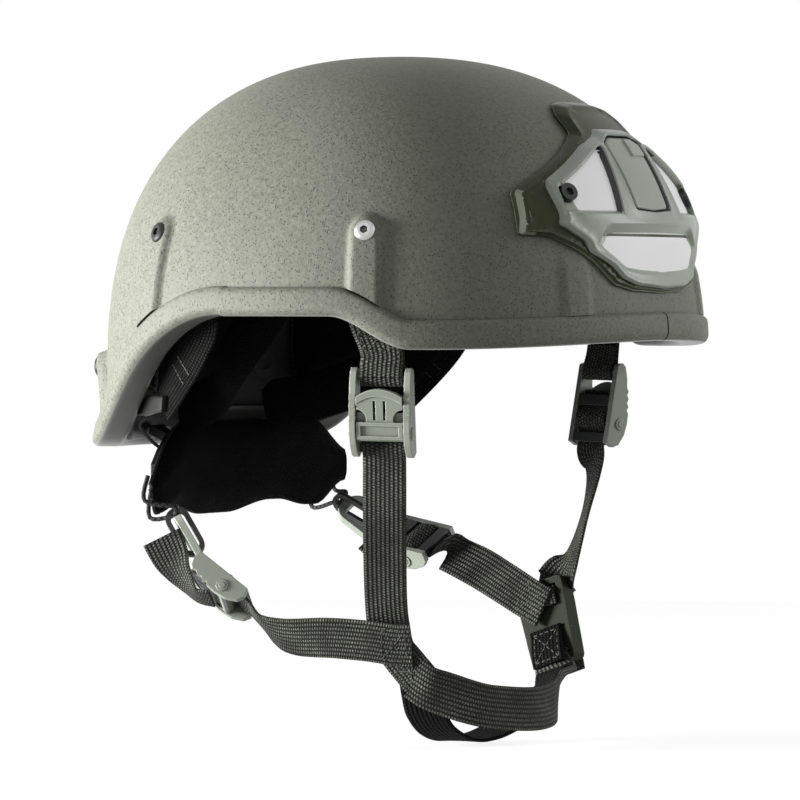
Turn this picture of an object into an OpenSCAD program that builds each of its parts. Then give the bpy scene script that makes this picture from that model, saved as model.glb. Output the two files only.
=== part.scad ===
// Rescue helmet with a four-point cam-buckle harness and a front accessory shroud.
// Frame: origin on the mid plane at brow-edge height, +X to the front, +Y to the wearer's left, +Z up.
// Lengths are millimetres and angles are degrees, measured from the front (+X) towards +Y.

/* [Shell] */
// Head axis to the front of the shell
front_len = 135; // [128:1:142]
// Head axis to the back of the shell
rear_len = 128; // [122:1:134]
// Head axis to each side of the shell
half_w = 121; // [115:1:127]
// Height of the crown above the brow edge
crown_z = 125; // [118:1:132]
// Wall of the shell
shell_t = 8; // [6:0.5:9]
// Height that the raised ribs stand proud of the shell
rib_h = 2.5; // [1.5:0.5:3]
// Width of a raised rib
rib_w = 13; // [11:1:15]

/* [Edge] */
// Height of the rim at the temples
temple_z = -3.2; // [-6:0.2:0]
// Height of the rim over the ears
arch_z = 10.6; // [6:0.2:16]
// Height of the rim at the nape
nape_z = -48; // [-54:1:-42]
// Height of the edge trim
trim_h = 12.3; // [11:0.1:14]
// Thickness of the trim's wall outside the shell
trim_t = 2.6; // [2:0.2:3.4]
// Gap left at the trim's butt seam
seam_w = 1.1; // [0.6:0.1:2]

/* [Bolts] */
// Diameter of a bolt head
head_d = 9; // [8:0.5:10]
// Diameter of a bolt shank
bolt_d = 5; // [4:0.5:6]
// Height of the front and rear side bolts
side_bolt_z = 46; // [42:1:50]

/* [Harness] */
// Width of the webbing
web_w = 19; // [18:0.5:20]
// Thickness of the webbing
web_t = 1.6; // [1.2:0.1:2]
// Side distance of the lap where the front and rear straps meet
lap_y = 63; // [60:1:66]

/* [Cam buckles] */
// Clear width between the cheeks
cam_gap = 21; // [20.5:0.5:23]
// Thickness of a cheek
cheek_t = 2.8; // [2.2:0.2:3.4]
// Diameter of the lever's pin
pin_d = 3; // [2.4:0.2:3.4]
// Thickness of the lever's plate
lever_t = 1.8; // [1.4:0.2:2.2]

/* [Chin buckle] */
// Width of the chin buckle
chin_w = 27; // [25:1:29]
// Thickness of the chin buckle
chin_t = 8; // [7:0.5:9]
// Length of the socket half
socket_l = 24; // [22:1:28]

/* [Comfort] */
// Thickness of a comfort pad
pad_t = 17; // [12:1:20]
// Radius of the nape pad's curve
nape_r = 150; // [146:1:154]
// Thickness of the nape pad
nape_t = 9; // [7:1:11]
// Diameter of the fit dial
dial_d = 22; // [18:1:24]

/* [Shroud] */
// Thickness of the shroud's gasket
gasket_t = 0.7; // [0.5:0.1:1]
// Thickness of the shroud's base
base_t = 3; // [2.5:0.5:4]
// Thickness of the shroud's insert above the base
insert_t = 3; // [2.5:0.5:4]
// Height of the shroud's lower apron above the shell
apron_d = 4.4; // [4:0.2:5]

/* [Hidden] */

waist_z = -14;
plan_n = 2.19;
dome_m = 2.39;
flare_front = 2;
flare_rear = 7;
flare_drop = 40;
gap = 0.3;
seat = 0.1;
$fn = 48;

paint = [0.44, 0.46, 0.39];
pale_green = [0.66, 0.70, 0.62];
olive = [0.24, 0.25, 0.16];
webbing = [0.28, 0.30, 0.24];
knit = [0.08, 0.08, 0.08];
black = [0.06, 0.06, 0.06];
steel = [0.72, 0.73, 0.72];

function ramp(a, b, x) = let (t = min(1, max(0, (x - a) / (b - a)))) t * t * (3 - 2 * t);
function soft_max(a, b, k) = (a + b + sqrt(pow(a - b, 2) + k * k)) / 2;
function mix(p, q, t) = p + (q - p) * t;
function unit(v) = v / norm(v);
function fold(a) = let (b = abs(a) % 360) b > 180 ? 360 - b : b;
function plan_r(a, d) = let (len = (cos(a) > 0 ? front_len : rear_len) + d)
    pow(pow(abs(cos(a)) / len, plan_n) + pow(abs(sin(a)) / (half_w + d), plan_n), -1 / plan_n);
function flare(a, z) = z >= waist_z ? 0 :
    mix(flare_front, flare_rear, (1 - cos(a)) / 2) * pow((waist_z - z) / flare_drop, 2);
function dome_k(z, d) = z <= waist_z ? 1 :
    pow(max(0, 1 - pow((z - waist_z) / (crown_z - waist_z + d), dome_m)), 1 / dome_m);

// Point at angle a and height z, d outside the shell's painted face
function skin(a, z, d) = let (r = plan_r(a, d) * dome_k(z, d) + flare(a, z)) [r * cos(a), r * sin(a), z];
function tangent(a, z) = unit(skin(a + 0.5, z, 0) - skin(a - 0.5, z, 0));
function normal(a, z) = unit(cross(skin(a + 0.5, z, 0) - skin(a - 0.5, z, 0),
    skin(a, z + 0.5, 0) - skin(a, z - 0.5, 0)));
function dome_z(x, y, d) = let (a = atan2(y, x), k = norm([x, y]) / plan_r(a, d))
    waist_z + (crown_z - waist_z + d) * pow(1 - pow(k, dome_m), 1 / dome_m);

// Height of the finished edge round the helmet
function rim(a) = let (b = fold(a), u = max(0, (b - 96) / 43),
        front = temple_z * ramp(0, 50, b) + (arch_z - temple_z) * ramp(55, 71, b))
    b < 96 ? front : soft_max(front - 63 * pow(u, 1.9), nape_z, 12) - 0.6 * ramp(96, 139, b);

// Angles of the bolts, and the heights that their ribs reach
front_bolt_a = 63.7;
rear_side_bolt_a = 116.9;
rear_bolt_a = 154;
rear_bolt_z = -12;
shroud_bolt_a = 23;
shroud_bolt_z = 60;
rear_rib_h = 6;
shroud_rib_h = 1.5;
// Ribs: angle, height reached, how far they stand proud at the top and at the edge trim
RIBS = [[shroud_bolt_a, 28, shroud_rib_h, shroud_rib_h], [front_bolt_a, side_bolt_z, rib_h, rib_h],
    [rear_side_bolt_a, side_bolt_z, rib_h, rib_h], [rear_bolt_a, rear_bolt_z, rear_rib_h, rib_h]];
rib_fillet = 2.2;

function degrees_of(mm, a) = mm / plan_r(a, 0) * 180 / PI;
function rib_at(a, z) = max([for (r = RIBS)
    let (b = fold(a), side = (b - r[0]) * plan_r(r[0], 0) * PI / 180,
        far = norm([side, max(0, z - r[1])]), low = rim(r[0]) + trim_h,
        rise = min(1, max(0, (z - low) / (r[1] - low))))
    mix(r[3], r[2], rise) * (1 - ramp(rib_w / 2 - rib_fillet / 2, rib_w / 2 + rib_fillet, far))]);
function rim_slope(a) = (rim(a + 1) - rim(a - 1)) / (2 * plan_r(a, 0) * PI / 180);
function trim_top(a) = rim(a) + trim_h * norm([1, rim_slope(a)]);
function shell_d(a, z) = z < trim_top(a) + 0.5 ? 0 : rib_at(a, z);

function sorted(v) = len(v) < 2 ? v : let (p = v[0])
    concat(sorted([for (x = v) if (x < p) x]), [p], sorted([for (i = [1:len(v) - 1]) if (v[i] >= p) v[i]]));
rib_cols = [for (r = RIBS) for (s = [-1, -0.6, 0, 0.6, 1])
    r[0] + s * degrees_of(rib_w / 2 + rib_fillet, r[0])];
base_cols = [for (a = [0:10:180])
    if (min([for (r = RIBS) abs(a - r[0])]) > degrees_of(rib_w / 2 + rib_fillet, 90) + 2) a];
half_cols = sorted(concat(base_cols, rib_cols));
COLS = concat(half_cols, [for (i = [len(half_cols) - 2:-1:1]) 360 - half_cols[i]]);
TRIM_COLS = [8, 16, 24, 32, 40, 48, 54, 58, 62, 66, 70, 75, 82, 90, 98, 105, 111, 117, 123, 129,
    134, 138, 142, 147, 155, 163, 171, 180];

// Closed mesh from a stack of rings with equal counts, capped at both ends
module loft(rings) {
    n = len(rings[0]);
    m = len(rings);
    points = [for (r = rings) for (p = r) p];
    sides = [for (i = [0:m - 2]) for (j = [0:n - 1]) let (k = (j + 1) % n, a = i * n, b = a + n)
        each [[a + j, a + k, b + k], [a + j, b + k, b + j]]];
    polyhedron(points, concat(sides, [[for (j = [n - 1:-1:0]) j]], [[for (j = [0:n - 1]) (m - 1) * n + j]]));
}

// Closed mesh between two grids of points with equal counts, joined round their border
module slab(top, bottom) {
    m = len(top);
    n = len(top[0]);
    k = m * n;
    points = concat([for (r = top) for (p = r) p], [for (r = bottom) for (p = r) p]);
    upper = [for (i = [0:m - 2]) for (j = [0:n - 2]) let (a = i * n + j)
        each [[a, a + 1, a + n + 1], [a, a + n + 1, a + n]]];
    lower = [for (f = upper) [f[2] + k, f[1] + k, f[0] + k]];
    border = concat([for (j = [0:n - 2]) j], [for (i = [0:m - 2]) i * n + n - 1],
        [for (j = [n - 1:-1:1]) (m - 1) * n + j], [for (i = [m - 1:-1:1]) i * n]);
    edge = [for (q = [0:len(border) - 1]) let (a = border[q], b = border[(q + 1) % len(border)])
        each [[b, a, a + k], [b, a + k, b + k]]];
    polyhedron(points, concat(upper, lower, edge));
}

// Places children with their +Z along the shell's normal
module on_skin(a, z, d) {
    n = normal(a, z);
    translate(skin(a, z, 0) + n * d) rotate([0, acos(n[2]), atan2(n[1], n[0])]) children();
}
module both() {
    children();
    mirror([0, 1, 0]) children();
}
module hand(left) {
    if (left) mirror([0, 1, 0]) children();
    else children();
}

// Rows of the shell, from the edge to just below the pole
JOIN_Z = 30;
LOW = [0.3, 0.44, 0.7, 1];
HIGH = [18.5, 21.5, 24.5, 28.5, 32, 40, 49, 58, 67, 76, 84];
function low_rows(a) = let (top = trim_top(a) + 0.1)
    concat([rim(a) + 4.2, top, top + 1.4], [for (f = LOW) mix(top + 1.4, JOIN_Z, f)]);
function high_z(q, d) = waist_z + (crown_z - waist_z + d) * pow(sin(q), 2 / dome_m);

module shell_wall() {
    outer = [for (a = COLS) concat(
        [for (z = low_rows(a)) skin(a, z, shell_d(a, z))],
        [for (q = HIGH) let (z = high_z(q, 0)) skin(a, z, shell_d(a, z))])];
    inner = [for (a = COLS) concat(
        [for (f = [0, 0.25, 0.5, 0.75, 1]) skin(a, mix(rim(a) + 4.2, JOIN_Z, f), -shell_t)],
        [for (q = [25, 33, 42, 52, 63, 74, 84]) skin(a, high_z(q, -shell_t), -shell_t)])];
    c = len(COLS);
    n = len(outer[0]);
    m = len(inner[0]);
    pole = c * (n + m);
    points = concat([for (r = outer) for (p = r) p], [for (r = inner) for (p = r) p],
        [[0, 0, crown_z], [0, 0, crown_z - shell_t]]);
    function at(i, j) = (i % c) * n + j;
    function bt(i, j) = c * n + (i % c) * m + j;
    polyhedron(points, concat(
        [for (i = [0:c - 1]) for (j = [0:n - 2])
            each [[at(i, j), at(i, j + 1), at(i + 1, j + 1)], [at(i, j), at(i + 1, j + 1), at(i + 1, j)]]],
        [for (i = [0:c - 1]) [at(i, n - 1), pole, at(i + 1, n - 1)]],
        [for (i = [0:c - 1]) for (j = [0:m - 2])
            each [[bt(i, j), bt(i + 1, j + 1), bt(i, j + 1)], [bt(i, j), bt(i + 1, j), bt(i + 1, j + 1)]]],
        [for (i = [0:c - 1]) [bt(i, m - 1), bt(i + 1, m - 1), pole + 1]],
        [for (i = [0:c - 1]) each [[at(i, 0), at(i + 1, 0), bt(i + 1, 0)], [at(i, 0), bt(i + 1, 0), bt(i, 0)]]]));
}

// Bolts
head_t = 1.9;
flat_d = rib_h - 0.5;
rear_flat_d = rear_rib_h - 0.6;
nut_seat = -shell_t + 0.5;
web_sag = 0.5;
web_seat = -shell_t - 1.1 - web_t - web_sag;
lip_t = 3;
nut_bore = bolt_d + 0.1;
nut_d = bolt_d + 2.4;
flange_d = 13;
flange_t = 1.2;
hole_d = nut_d + 0.2;

module bolt_cut(a, z, d) {
    on_skin(a, z, d) cylinder(d = head_d + 1, h = 6);
    nut_cut(a, z, shell_t + d + 5);
}
module nut_cut(a, z, length) {
    on_skin(a, z, -shell_t - 4) cylinder(d = hole_d, h = length);
    on_skin(a, z, -shell_t - 4) cylinder(d = flange_d + 0.6, h = 4 + shell_t + nut_seat);
}
module bolt(grip) {
    difference() {
        union() {
            rotate_extrude() polygon([[0, 0], [head_d / 2, 0], [head_d / 2, 0.7], [head_d / 2 - 0.5, 1.3],
                [head_d / 2 - 1.6, head_t], [0, head_t]]);
            translate([0, 0, -grip]) cylinder(d = bolt_d, h = grip);
        }
        translate([0, 0, 0.5]) cylinder(d = 3.6, h = 3, $fn = 6);
    }
}
module tee_nut(length) {
    difference() {
        union() {
            translate([0, 0, -flange_t]) cylinder(d = flange_d, h = flange_t);
            cylinder(d = nut_d, h = length);
        }
        translate([0, 0, -2]) cylinder(d = nut_bore, h = length + 4);
    }
}

module shell() {
    color(paint) difference() {
        shell_wall();
        both() {
            bolt_cut(front_bolt_a, side_bolt_z, flat_d);
            bolt_cut(rear_side_bolt_a, side_bolt_z, flat_d);
            bolt_cut(rear_bolt_a, rear_bolt_z, rear_flat_d);
            nut_cut(shroud_bolt_a, shroud_bolt_z, 20);
        }
    }
}

// Room in the trim's channel outside, inside and below the shell's edge
trim_out = 0.6;
trim_in = 0.9;
trim_floor = 2.3;
// The trim's section: x is the distance outside the shell, y the distance above the edge
TRIM = [[trim_out, trim_h], [trim_out + 0.6, trim_h], [trim_t + 0.4, trim_h - 1.4], [trim_t + 0.4, 3], [1.4, 0.6],
    [-0.5, 0], [-shell_t - 1.4, 0], [-shell_t - lip_t, 1.6], [-shell_t - lip_t, 8.4], [-shell_t - trim_in, 8.4],
    [-shell_t - trim_in, trim_floor], [trim_out, trim_floor]];
function trim_ring(a) = let (m = rim_slope(a), k = 1 / sqrt(1 + m * m))
    [for (p = TRIM) skin(a - degrees_of(m * k * p[1], a), rim(a) + k * p[1], p[0])];

module edge_trim() {
    start = degrees_of(seam_w / 2, 0);
    half = concat([start], TRIM_COLS);
    angles = concat(half, [for (i = [len(half) - 2:-1:0]) 360 - half[i]]);
    color(paint) loft([for (i = [0:len(angles) - 1], f = i < len(angles) - 1 ? [0, 0.5] : [0])
        trim_ring(-mix(angles[i], angles[min(i + 1, len(angles) - 1)], f))]);
}

module front_side_bolts() {
    color(steel) both() on_skin(front_bolt_a, side_bolt_z, flat_d) bolt(shell_t + flat_d);
}
module rear_side_bolts() {
    color(black) both() on_skin(rear_side_bolt_a, side_bolt_z, flat_d) bolt(shell_t + flat_d);
}
module rear_bolts() {
    color(black) both() on_skin(rear_bolt_a, rear_bolt_z, rear_flat_d) bolt(shell_t + rear_flat_d);
}
module bolt_nuts() {
    color(steel) both() {
        on_skin(front_bolt_a, side_bolt_z, web_seat) tee_nut(shell_t);
        on_skin(rear_side_bolt_a, side_bolt_z, web_seat) tee_nut(shell_t);
        on_skin(rear_bolt_a, rear_bolt_z, nut_seat) tee_nut(shell_t);
        on_skin(shroud_bolt_a, shroud_bolt_z, nut_seat) tee_nut(shell_t - 1);
    }
}

// Shroud: outlines are [side, height] of the left half, seen from the front, from top to bottom
BASE_HALF = [[0, 103], [9, 103], [16.5, 101.5], [21.5, 96.5], [23, 89], [30, 84.5], [38, 79.5], [55.5, 70],
    [68, 63], [71.8, 45], [61, 44.5], [50, 39], [42.7, 34], [37.5, 28.5], [32.7, 24], [21.5, 21.5], [0, 20.6]];
INSERT_HALF = [[0, 91], [11, 90.8], [16, 87.5], [28.5, 83], [55, 68.2], [56.8, 65], [55.7, 53.6], [57.2, 49.2],
    [46.3, 42], [44.3, 37.5], [34.5, 32], [29.3, 26.6], [20.8, 23.8], [0, 22.3]];
WINDOW = [[18.3, 83.3], [21.5, 82.8], [50.5, 67], [47.5, 54.5], [24.6, 54.5]];
TRAY_HALF = [[0, 51.5], [34, 50.8], [37.5, 47.5], [42, 40.5], [33, 33.5], [28, 29.5], [18, 28], [0, 27.2]];
PLATE_HALF = [[0, 88], [9, 88], [15.5, 85], [15, 56], [0, 55]];
SCREW_BOX = 11;
BLOCK_Z = [16, 24, 32, 38, 42, 45.5, 51, 58, 68, 78, 88, 98, 108];

function full(half) = concat(half, [for (i = [len(half) - 1:-1:0]) if (half[i][0] > 0) [-half[i][0], half[i][1]]]);
module front_cut(points) {
    rotate([90, 0, 90]) linear_extrude(height = 200) polygon(points);
}
shroud_gap = 0.5;
upper_d = shroud_gap + gasket_t + base_t;
// The shroud is thick above its ledge and thins to an apron below it
function thick(z) = min(1, max(0, (z - 38) / (51 - 38)));
function base_d(z) = mix(apron_d - 2.2, upper_d, thick(z));
function face_d(z) = mix(apron_d, upper_d + insert_t, thick(z));
function tray_d(z) = mix(apron_d - 1.2, face_d(51) + 0.4, min(1, max(0, (z - 45.5) / 5.5)));
floor_d = upper_d + 0.8;

// Block of the front of the helmet between two offsets from the shell, [low offsets, high offsets] by height
module front_block(low, high) {
    cols = 12;
    function grid(d) = [for (i = [0:cols]) [for (j = [0:len(BLOCK_Z) - 1])
        skin(-48 + 96 * i / cols, BLOCK_Z[j], d[j])]];
    slab(grid(high), grid(low));
}
function level(d) = [for (z = BLOCK_Z) d];
BASE_TOP = [for (z = BLOCK_Z) base_d(z)];
FACE = [for (z = BLOCK_Z) face_d(z)];
TRAY = [for (z = BLOCK_Z) tray_d(z)];

module shroud_screw_cut(d, from, to) {
    both() on_skin(shroud_bolt_a, shroud_bolt_z, from) cylinder(d = d, h = to - from);
}
module shroud_gasket() {
    color(black) difference() {
        intersection() {
            front_block(level(shroud_gap), level(shroud_gap + gasket_t));
            front_cut([for (p = full(BASE_HALF)) [p[0] * 0.93, 58 + (p[1] - 58) * (p[1] > 58 ? 0.95 : 0.85)]]);
        }
        front_cut([[-34, 76], [34, 76], [42, 58], [30, 38], [-30, 38], [-42, 58]]);
        shroud_screw_cut(bolt_d + 1, -2, 12);
    }
}
module shroud_base() {
    color(olive) difference() {
        intersection() {
            front_block(level(shroud_gap + gasket_t), BASE_TOP);
            front_cut(full(BASE_HALF));
        }
        shroud_screw_cut(bolt_d + 0.4, -2, 20);
    }
}
module shroud_insert() {
    color(pale_green) difference() {
        intersection() {
            front_block(BASE_TOP, FACE);
            front_cut(full(INSERT_HALF));
        }
        intersection() {
            front_block(level(floor_d), level(20));
            union() {
                both() front_cut(WINDOW);
                front_cut(full(PLATE_HALF));
            }
        }
        intersection() {
            front_block(TRAY, level(20));
            front_cut(full(TRAY_HALF));
        }
        both() on_skin(shroud_bolt_a, shroud_bolt_z, upper_d + 0.5 + 5)
            cube([SCREW_BOX, SCREW_BOX, 10], center = true);
        shroud_screw_cut(bolt_d + 0.4, -2, 20);
    }
}
// Centre plate, with a raised tab and the slit beside it
module shroud_plate() {
    clear = 0.3;
    color(pale_green) difference() {
        intersection() {
            union() {
                front_block(level(floor_d), level(floor_d + 1.7));
                intersection() {
                    front_block(level(floor_d), level(floor_d + 2.8));
                    front_cut([[1, 79.5], [12, 79.5], [12, 87], [1, 87]]);
                }
            }
            front_cut([for (p = full(PLATE_HALF)) [p[0] * (1 - clear / 15), 71.5 + (p[1] - 71.5) * (1 - clear / 16)]]);
        }
        front_cut([[-3.5, 79.5], [0, 79.5], [0, 90], [-3.5, 90]]);
    }
}
module shroud_screws() {
    color(black) both() on_skin(shroud_bolt_a, shroud_bolt_z, upper_d + 0.5) difference() {
        union() {
            cylinder(d = head_d - 1, h = 3);
            translate([0, 0, -shell_t - upper_d]) cylinder(d = bolt_d, h = shell_t + upper_d);
        }
        translate([0, 0, 1.4]) cylinder(d = 4, h = 4, $fn = 6);
    }
}

// Comfort pads, with a flat back on the shell and a crowned face
pad_d = -shell_t - 1.1;
function crown(u) = 1 - pow(abs(2 * u - 1), 4);
module pad(a0, a1, low0, low1, high, t = pad_t, na = 7, nz = 6) {
    am = (a0 + a1) / 2;
    function place(i, j, face) = let (u = i / na, v = j / nz, corner = 1 - 0.14 * pow(abs(2 * v - 1), 5),
            a = am + (a1 - a0) * (u - 0.5) * corner,
            z = mix(mix(low0, low1, u), high, v) + (v > 0.5 ? -3 : 3) * pow(abs(2 * u - 1), 4) * abs(2 * v - 1))
        skin(a, z, pad_d - (face ? t * (0.45 + 0.55 * crown(u) * crown(v)) : 0));
    color(knit) slab([for (i = [0:na]) [for (j = [0:nz]) place(i, j, false)]],
        [for (i = [0:na]) [for (j = [0:nz]) place(i, j, true)]]);
}
module front_pad() { pad(-27, 27, 17, 17, 62, na = 9); }
module rear_pad() { pad(161, 199, -24, -24, 44, na = 8); }
module temple_pad(left) { hand(left) pad(-53, -32, 18, 17, 64, na = 4); }
module side_pad(left) { hand(left) pad(-108, -74, 27, 27, 74); }
module occipital_pad(left) { hand(left) pad(-148, -124, -24, -4, 46); }
module temple_pad_right() { temple_pad(false); }
module temple_pad_left() { temple_pad(true); }
module side_pad_right() { side_pad(false); }
module side_pad_left() { side_pad(true); }
module occipital_pad_right() { occipital_pad(false); }
module occipital_pad_left() { occipital_pad(true); }
module crown_pad() {
    rings = [4, 16, 28, 38, 43];
    n = 16;
    function p(r, j, low) = let (x = r * cos(360 * j / n), y = r * sin(360 * j / n), d = pad_d)
        [x, y, dome_z(x, y, d) - (low ? pad_t * (0.5 + 0.5 * (1 - pow(r / 43, 4))) : 0)];
    color(knit) loft(concat([for (i = [0:4]) [for (j = [0:n - 1]) p(rings[i], j, false)]],
        [for (i = [4:-1:0]) [for (j = [0:n - 1]) p(rings[i], j, true)]]));
}

// Smooth route through hand-set stations, each [place, direction of the webbing's width]
function spline(p, i, t) = let (n = len(p) - 1, a = p[max(0, i - 1)], b = p[i], c = p[min(n, i + 1)],
        d = p[min(n, i + 2)])
    b + (c - a) * t / 2 + (a * 2 - b * 5 + c * 4 - d) * t * t / 2 + (b * 3 - a - c * 3 + d) * t * t * t / 2;
module strap(stations, steps = 3, w = web_w, t = web_t) {
    places = [for (s = stations) s[0]];
    sides = [for (s = stations) s[1]];
    n = len(stations) - 1;
    route = concat([for (i = [0:n - 1]) for (k = [0:steps - 1]) spline(places, i, k / steps)], [places[n]]);
    across = concat([for (i = [0:n - 1]) for (k = [0:steps - 1]) spline(sides, i, k / steps)], [sides[n]]);
    last = len(route) - 1;
    loft([for (i = [0:last]) let (
            along = unit(route[min(last, i + 1)] - route[max(0, i - 1)]),
            out = unit(cross(along, across[i])),
            side = cross(out, along))
        [for (q = [[-1, -1], [-1, 1], [1, 1], [1, -1]]) route[i] + side * q[0] * w / 2 + out * q[1] * t / 2]]);
}
module tube(points, d, sides = 6) {
    last = len(points) - 1;
    loft([for (i = [0:last]) let (
            along = unit(points[min(last, i + 1)] - points[max(0, i - 1)]),
            u = unit(cross(along, abs(along[2]) > 0.9 ? [1, 0, 0] : [0, 0, 1])),
            v = cross(along, u))
        [for (j = [0:sides - 1]) points[i] + (u * cos(360 * j / sides) - v * sin(360 * j / sides)) * d / 2]]);
}

// Local frame of a buckle: x across the webbing, y outwards from the head, z up along the strap
module aim(place, up, out) {
    z = unit(up);
    y = unit(out - z * (out * z));
    x = cross(y, z);
    multmatrix([[x[0], y[0], z[0], place[0]], [x[1], y[1], z[1], place[1]], [x[2], y[2], z[2], place[2]],
        [0, 0, 0, 1]]) children();
}
FRONT_AIM = [[50, -89, -30], [0.07, -0.17, 0.98], [0.309, -0.951, 0]];
REAR_RIGHT_AIM = [[-50.6, -67.2, -104.9], [-0.81, -0.116, 0.575], [-0.354, -0.586, -0.782]];
REAR_LEFT_AIM = [[-40.3, 68.3, -91.6], [-0.98, -0.04, 0.19], [-0.15, 0.45, -0.88]];

CHIN_AIM = [[34, 72, -122.3], [-0.32, 0.13, 0.94], [0.1, 1, -0.1]];
plug_l = 15;
web_slot = socket_l / 2 - 4.6;
plug_slot = -socket_l / 2 - plug_l + 5;

// Cam buckle: heights along the strap, measured from the middle of the buckle
cam_w = cam_gap + 2 * cheek_t;
pivot = [3.7, -8];
bar_y = -1.6;
CHEEK = [[-2.4, -17.5], [1.5, -19], [4.6, -17.5], [7.2, -12.5], [8, -7], [7.8, -2.5], [6.6, -1.2], [7.4, 0.6],
    [6.2, 2.2], [6.9, 4], [5.6, 5.6], [6.2, 7.4], [4.9, 9]];
FRONT_CHEEK = concat(CHEEK, [[4.2, 13], [2.2, 18], [0.4, 19.4], [-2.4, 18]]);
REAR_CHEEK = concat(CHEEK, [[2, 10.4], [-2.2, 10.4]]);
module across_x(length) {
    rotate([90, 0, 90]) translate([0, 0, -length / 2]) linear_extrude(height = length) children();
}
module cam_frame(cheek) {
    difference() {
        union() {
            for (s = [-1, 1]) translate([s * (cam_gap + cheek_t) / 2, 0, 0]) across_x(cheek_t) polygon(cheek);
            across_x(cam_gap + 1) polygon([[-2.4, -17.4], [-0.6, -17.4], [-0.6, -13.4], [-1, -13], [-2.4, -13]]);
            across_x(cam_gap + 1) polygon([[-2.4, -0.6], [-1, -0.6], [-0.6, -0.2], [-0.6, 4], [-1, 4.4], [-2.4, 4.4]]);
            for (s = [-1, 1]) translate([s * (cam_w / 2 - 0.1), pivot[0], pivot[1]])
                rotate([0, s * 90, 0]) cylinder(d = pin_d + 2.4, h = 0.6);
        }
        translate([-cam_w, pivot[0], pivot[1]]) rotate([0, 90, 0]) cylinder(d = pin_d + 0.1, h = 2 * cam_w);
    }
    translate([-cam_w / 2 - 0.7, pivot[0], pivot[1]]) rotate([0, 90, 0]) cylinder(d = pin_d, h = cam_w + 1.4);
}
// Eye at the top of a rear buckle, which the nape link passes through
eye_l = 27;
eye_z = 8.4;
eye_bar = 4.6;
eye_hole = 18.6;
eye_bend = 20;
module cam_eye() {
    translate([0, -0.4, eye_z]) rotate([eye_bend - 90, 0, 0]) difference() {
        linear_extrude(height = 3.2, center = true) hull() {
            translate([0, -eye_l + 8]) scale([1.25, 1]) circle(d = 16);
            translate([0, -1]) square([cam_w - 1, 2], center = true);
        }
        translate([0, -eye_l + eye_bar, -3]) linear_extrude(height = 6) hull() for (s = [-1, 1]) {
            translate([s * 3.4, 5]) circle(d = 10);
            translate([s * 5, eye_hole - 3]) circle(d = 6);
        }
    }
}
lever_w = cam_gap - 0.8;
module cam_lever() {
    difference() {
        union() {
            // Thumb plate with its raised, arched lip
            difference() {
                translate([0, 5.6, 0]) across_front(lever_t) polygon(concat(
                    [[lever_w / 2, -4], [lever_w / 2, 7.4]],
                    [for (k = [0:8]) let (x = lever_w / 2 - lever_w * k / 8) [x, 8 + 3.4 * (1 - pow(2 * x / lever_w, 2))]],
                    [[-lever_w / 2, 7.4], [-lever_w / 2, -4]]));
                for (s = [-1, 1]) {
                    translate([s * 2.2, 4, 2.2]) cube([1.1, 6, 8.4], center = true);
                    translate([s * lever_w / 2, 9, -1.6]) rotate([90, 0, 0]) cylinder(d = 8.4, h = 8);
                }
            }
            translate([0, 6.4, 0]) across_front(1) polygon(concat(
                [for (k = [0:8]) let (x = lever_w / 2 - lever_w * k / 8) [x, 8 + 3.4 * (1 - pow(2 * x / lever_w, 2))]],
                [for (k = [0:8]) let (x = -lever_w / 2 + lever_w * k / 8) [x, 5 + 3.4 * (1 - pow(2 * x / lever_w, 2))]]));
            // Barrel and toothed cam round the pin
            across_x(lever_w) polygon([[7.4, -2.8], [7.4, -10], [6.4, -11], [3.6, -11.2], [1.4, -10.4], [0.6, -8.6],
                [0.5, -7], [0.9, -4], [1.5, -0.6], [2.1, 0.6], [4.8, 1], [4.8, -2.8]]);
        }
        translate([-lever_w, pivot[0], pivot[1]]) rotate([0, 90, 0]) cylinder(d = pin_d + 0.1, h = 2 * lever_w);
        // Bare recessed panel
        translate([0, 7.2, -6.5]) cube([lever_w - 3.6, 1.4, 4.4], center = true);
    }
}
module across_front(t) {
    rotate([90, 0, 0]) linear_extrude(height = t, center = true) children();
}
module front_buckle(left) {
    color(pale_green) hand(left) aim(FRONT_AIM[0], FRONT_AIM[1], FRONT_AIM[2]) union() {
        cam_frame(FRONT_CHEEK);
        across_x(cam_gap + 1) translate([-0.6, 15.2]) circle(d = 3.2);
    }
}
module front_lever(left) {
    color(pale_green) hand(left) aim(FRONT_AIM[0], FRONT_AIM[1], FRONT_AIM[2]) cam_lever();
}
function rear_aim(left) = left ? REAR_LEFT_AIM : REAR_RIGHT_AIM;
module rear_buckle(left) {
    m = rear_aim(left);
    color(pale_green) aim(m[0], m[1], m[2]) union() {
        cam_frame(REAR_CHEEK);
        cam_eye();
    }
}
module rear_lever(left) {
    m = rear_aim(left);
    color(pale_green) aim(m[0], m[1], m[2]) cam_lever();
}
module front_buckle_right() { front_buckle(false); }
module front_buckle_left() { front_buckle(true); }
module front_lever_right() { front_lever(false); }
module front_lever_left() { front_lever(true); }
module rear_buckle_right() { rear_buckle(false); }
module rear_buckle_left() { rear_buckle(true); }
module rear_lever_right() { rear_lever(false); }
module rear_lever_left() { rear_lever(true); }

// World place of a point in a buckle's frame
function in_aim(m, p) = let (z = unit(m[1]), y = unit(m[2] - z * (m[2] * z)), x = cross(y, z))
    m[0] + x * p[0] + y * p[1] + z * p[2];
function aim_x(m) = let (z = unit(m[1]), y = unit(m[2] - z * (m[2] * z))) cross(y, z);

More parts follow.
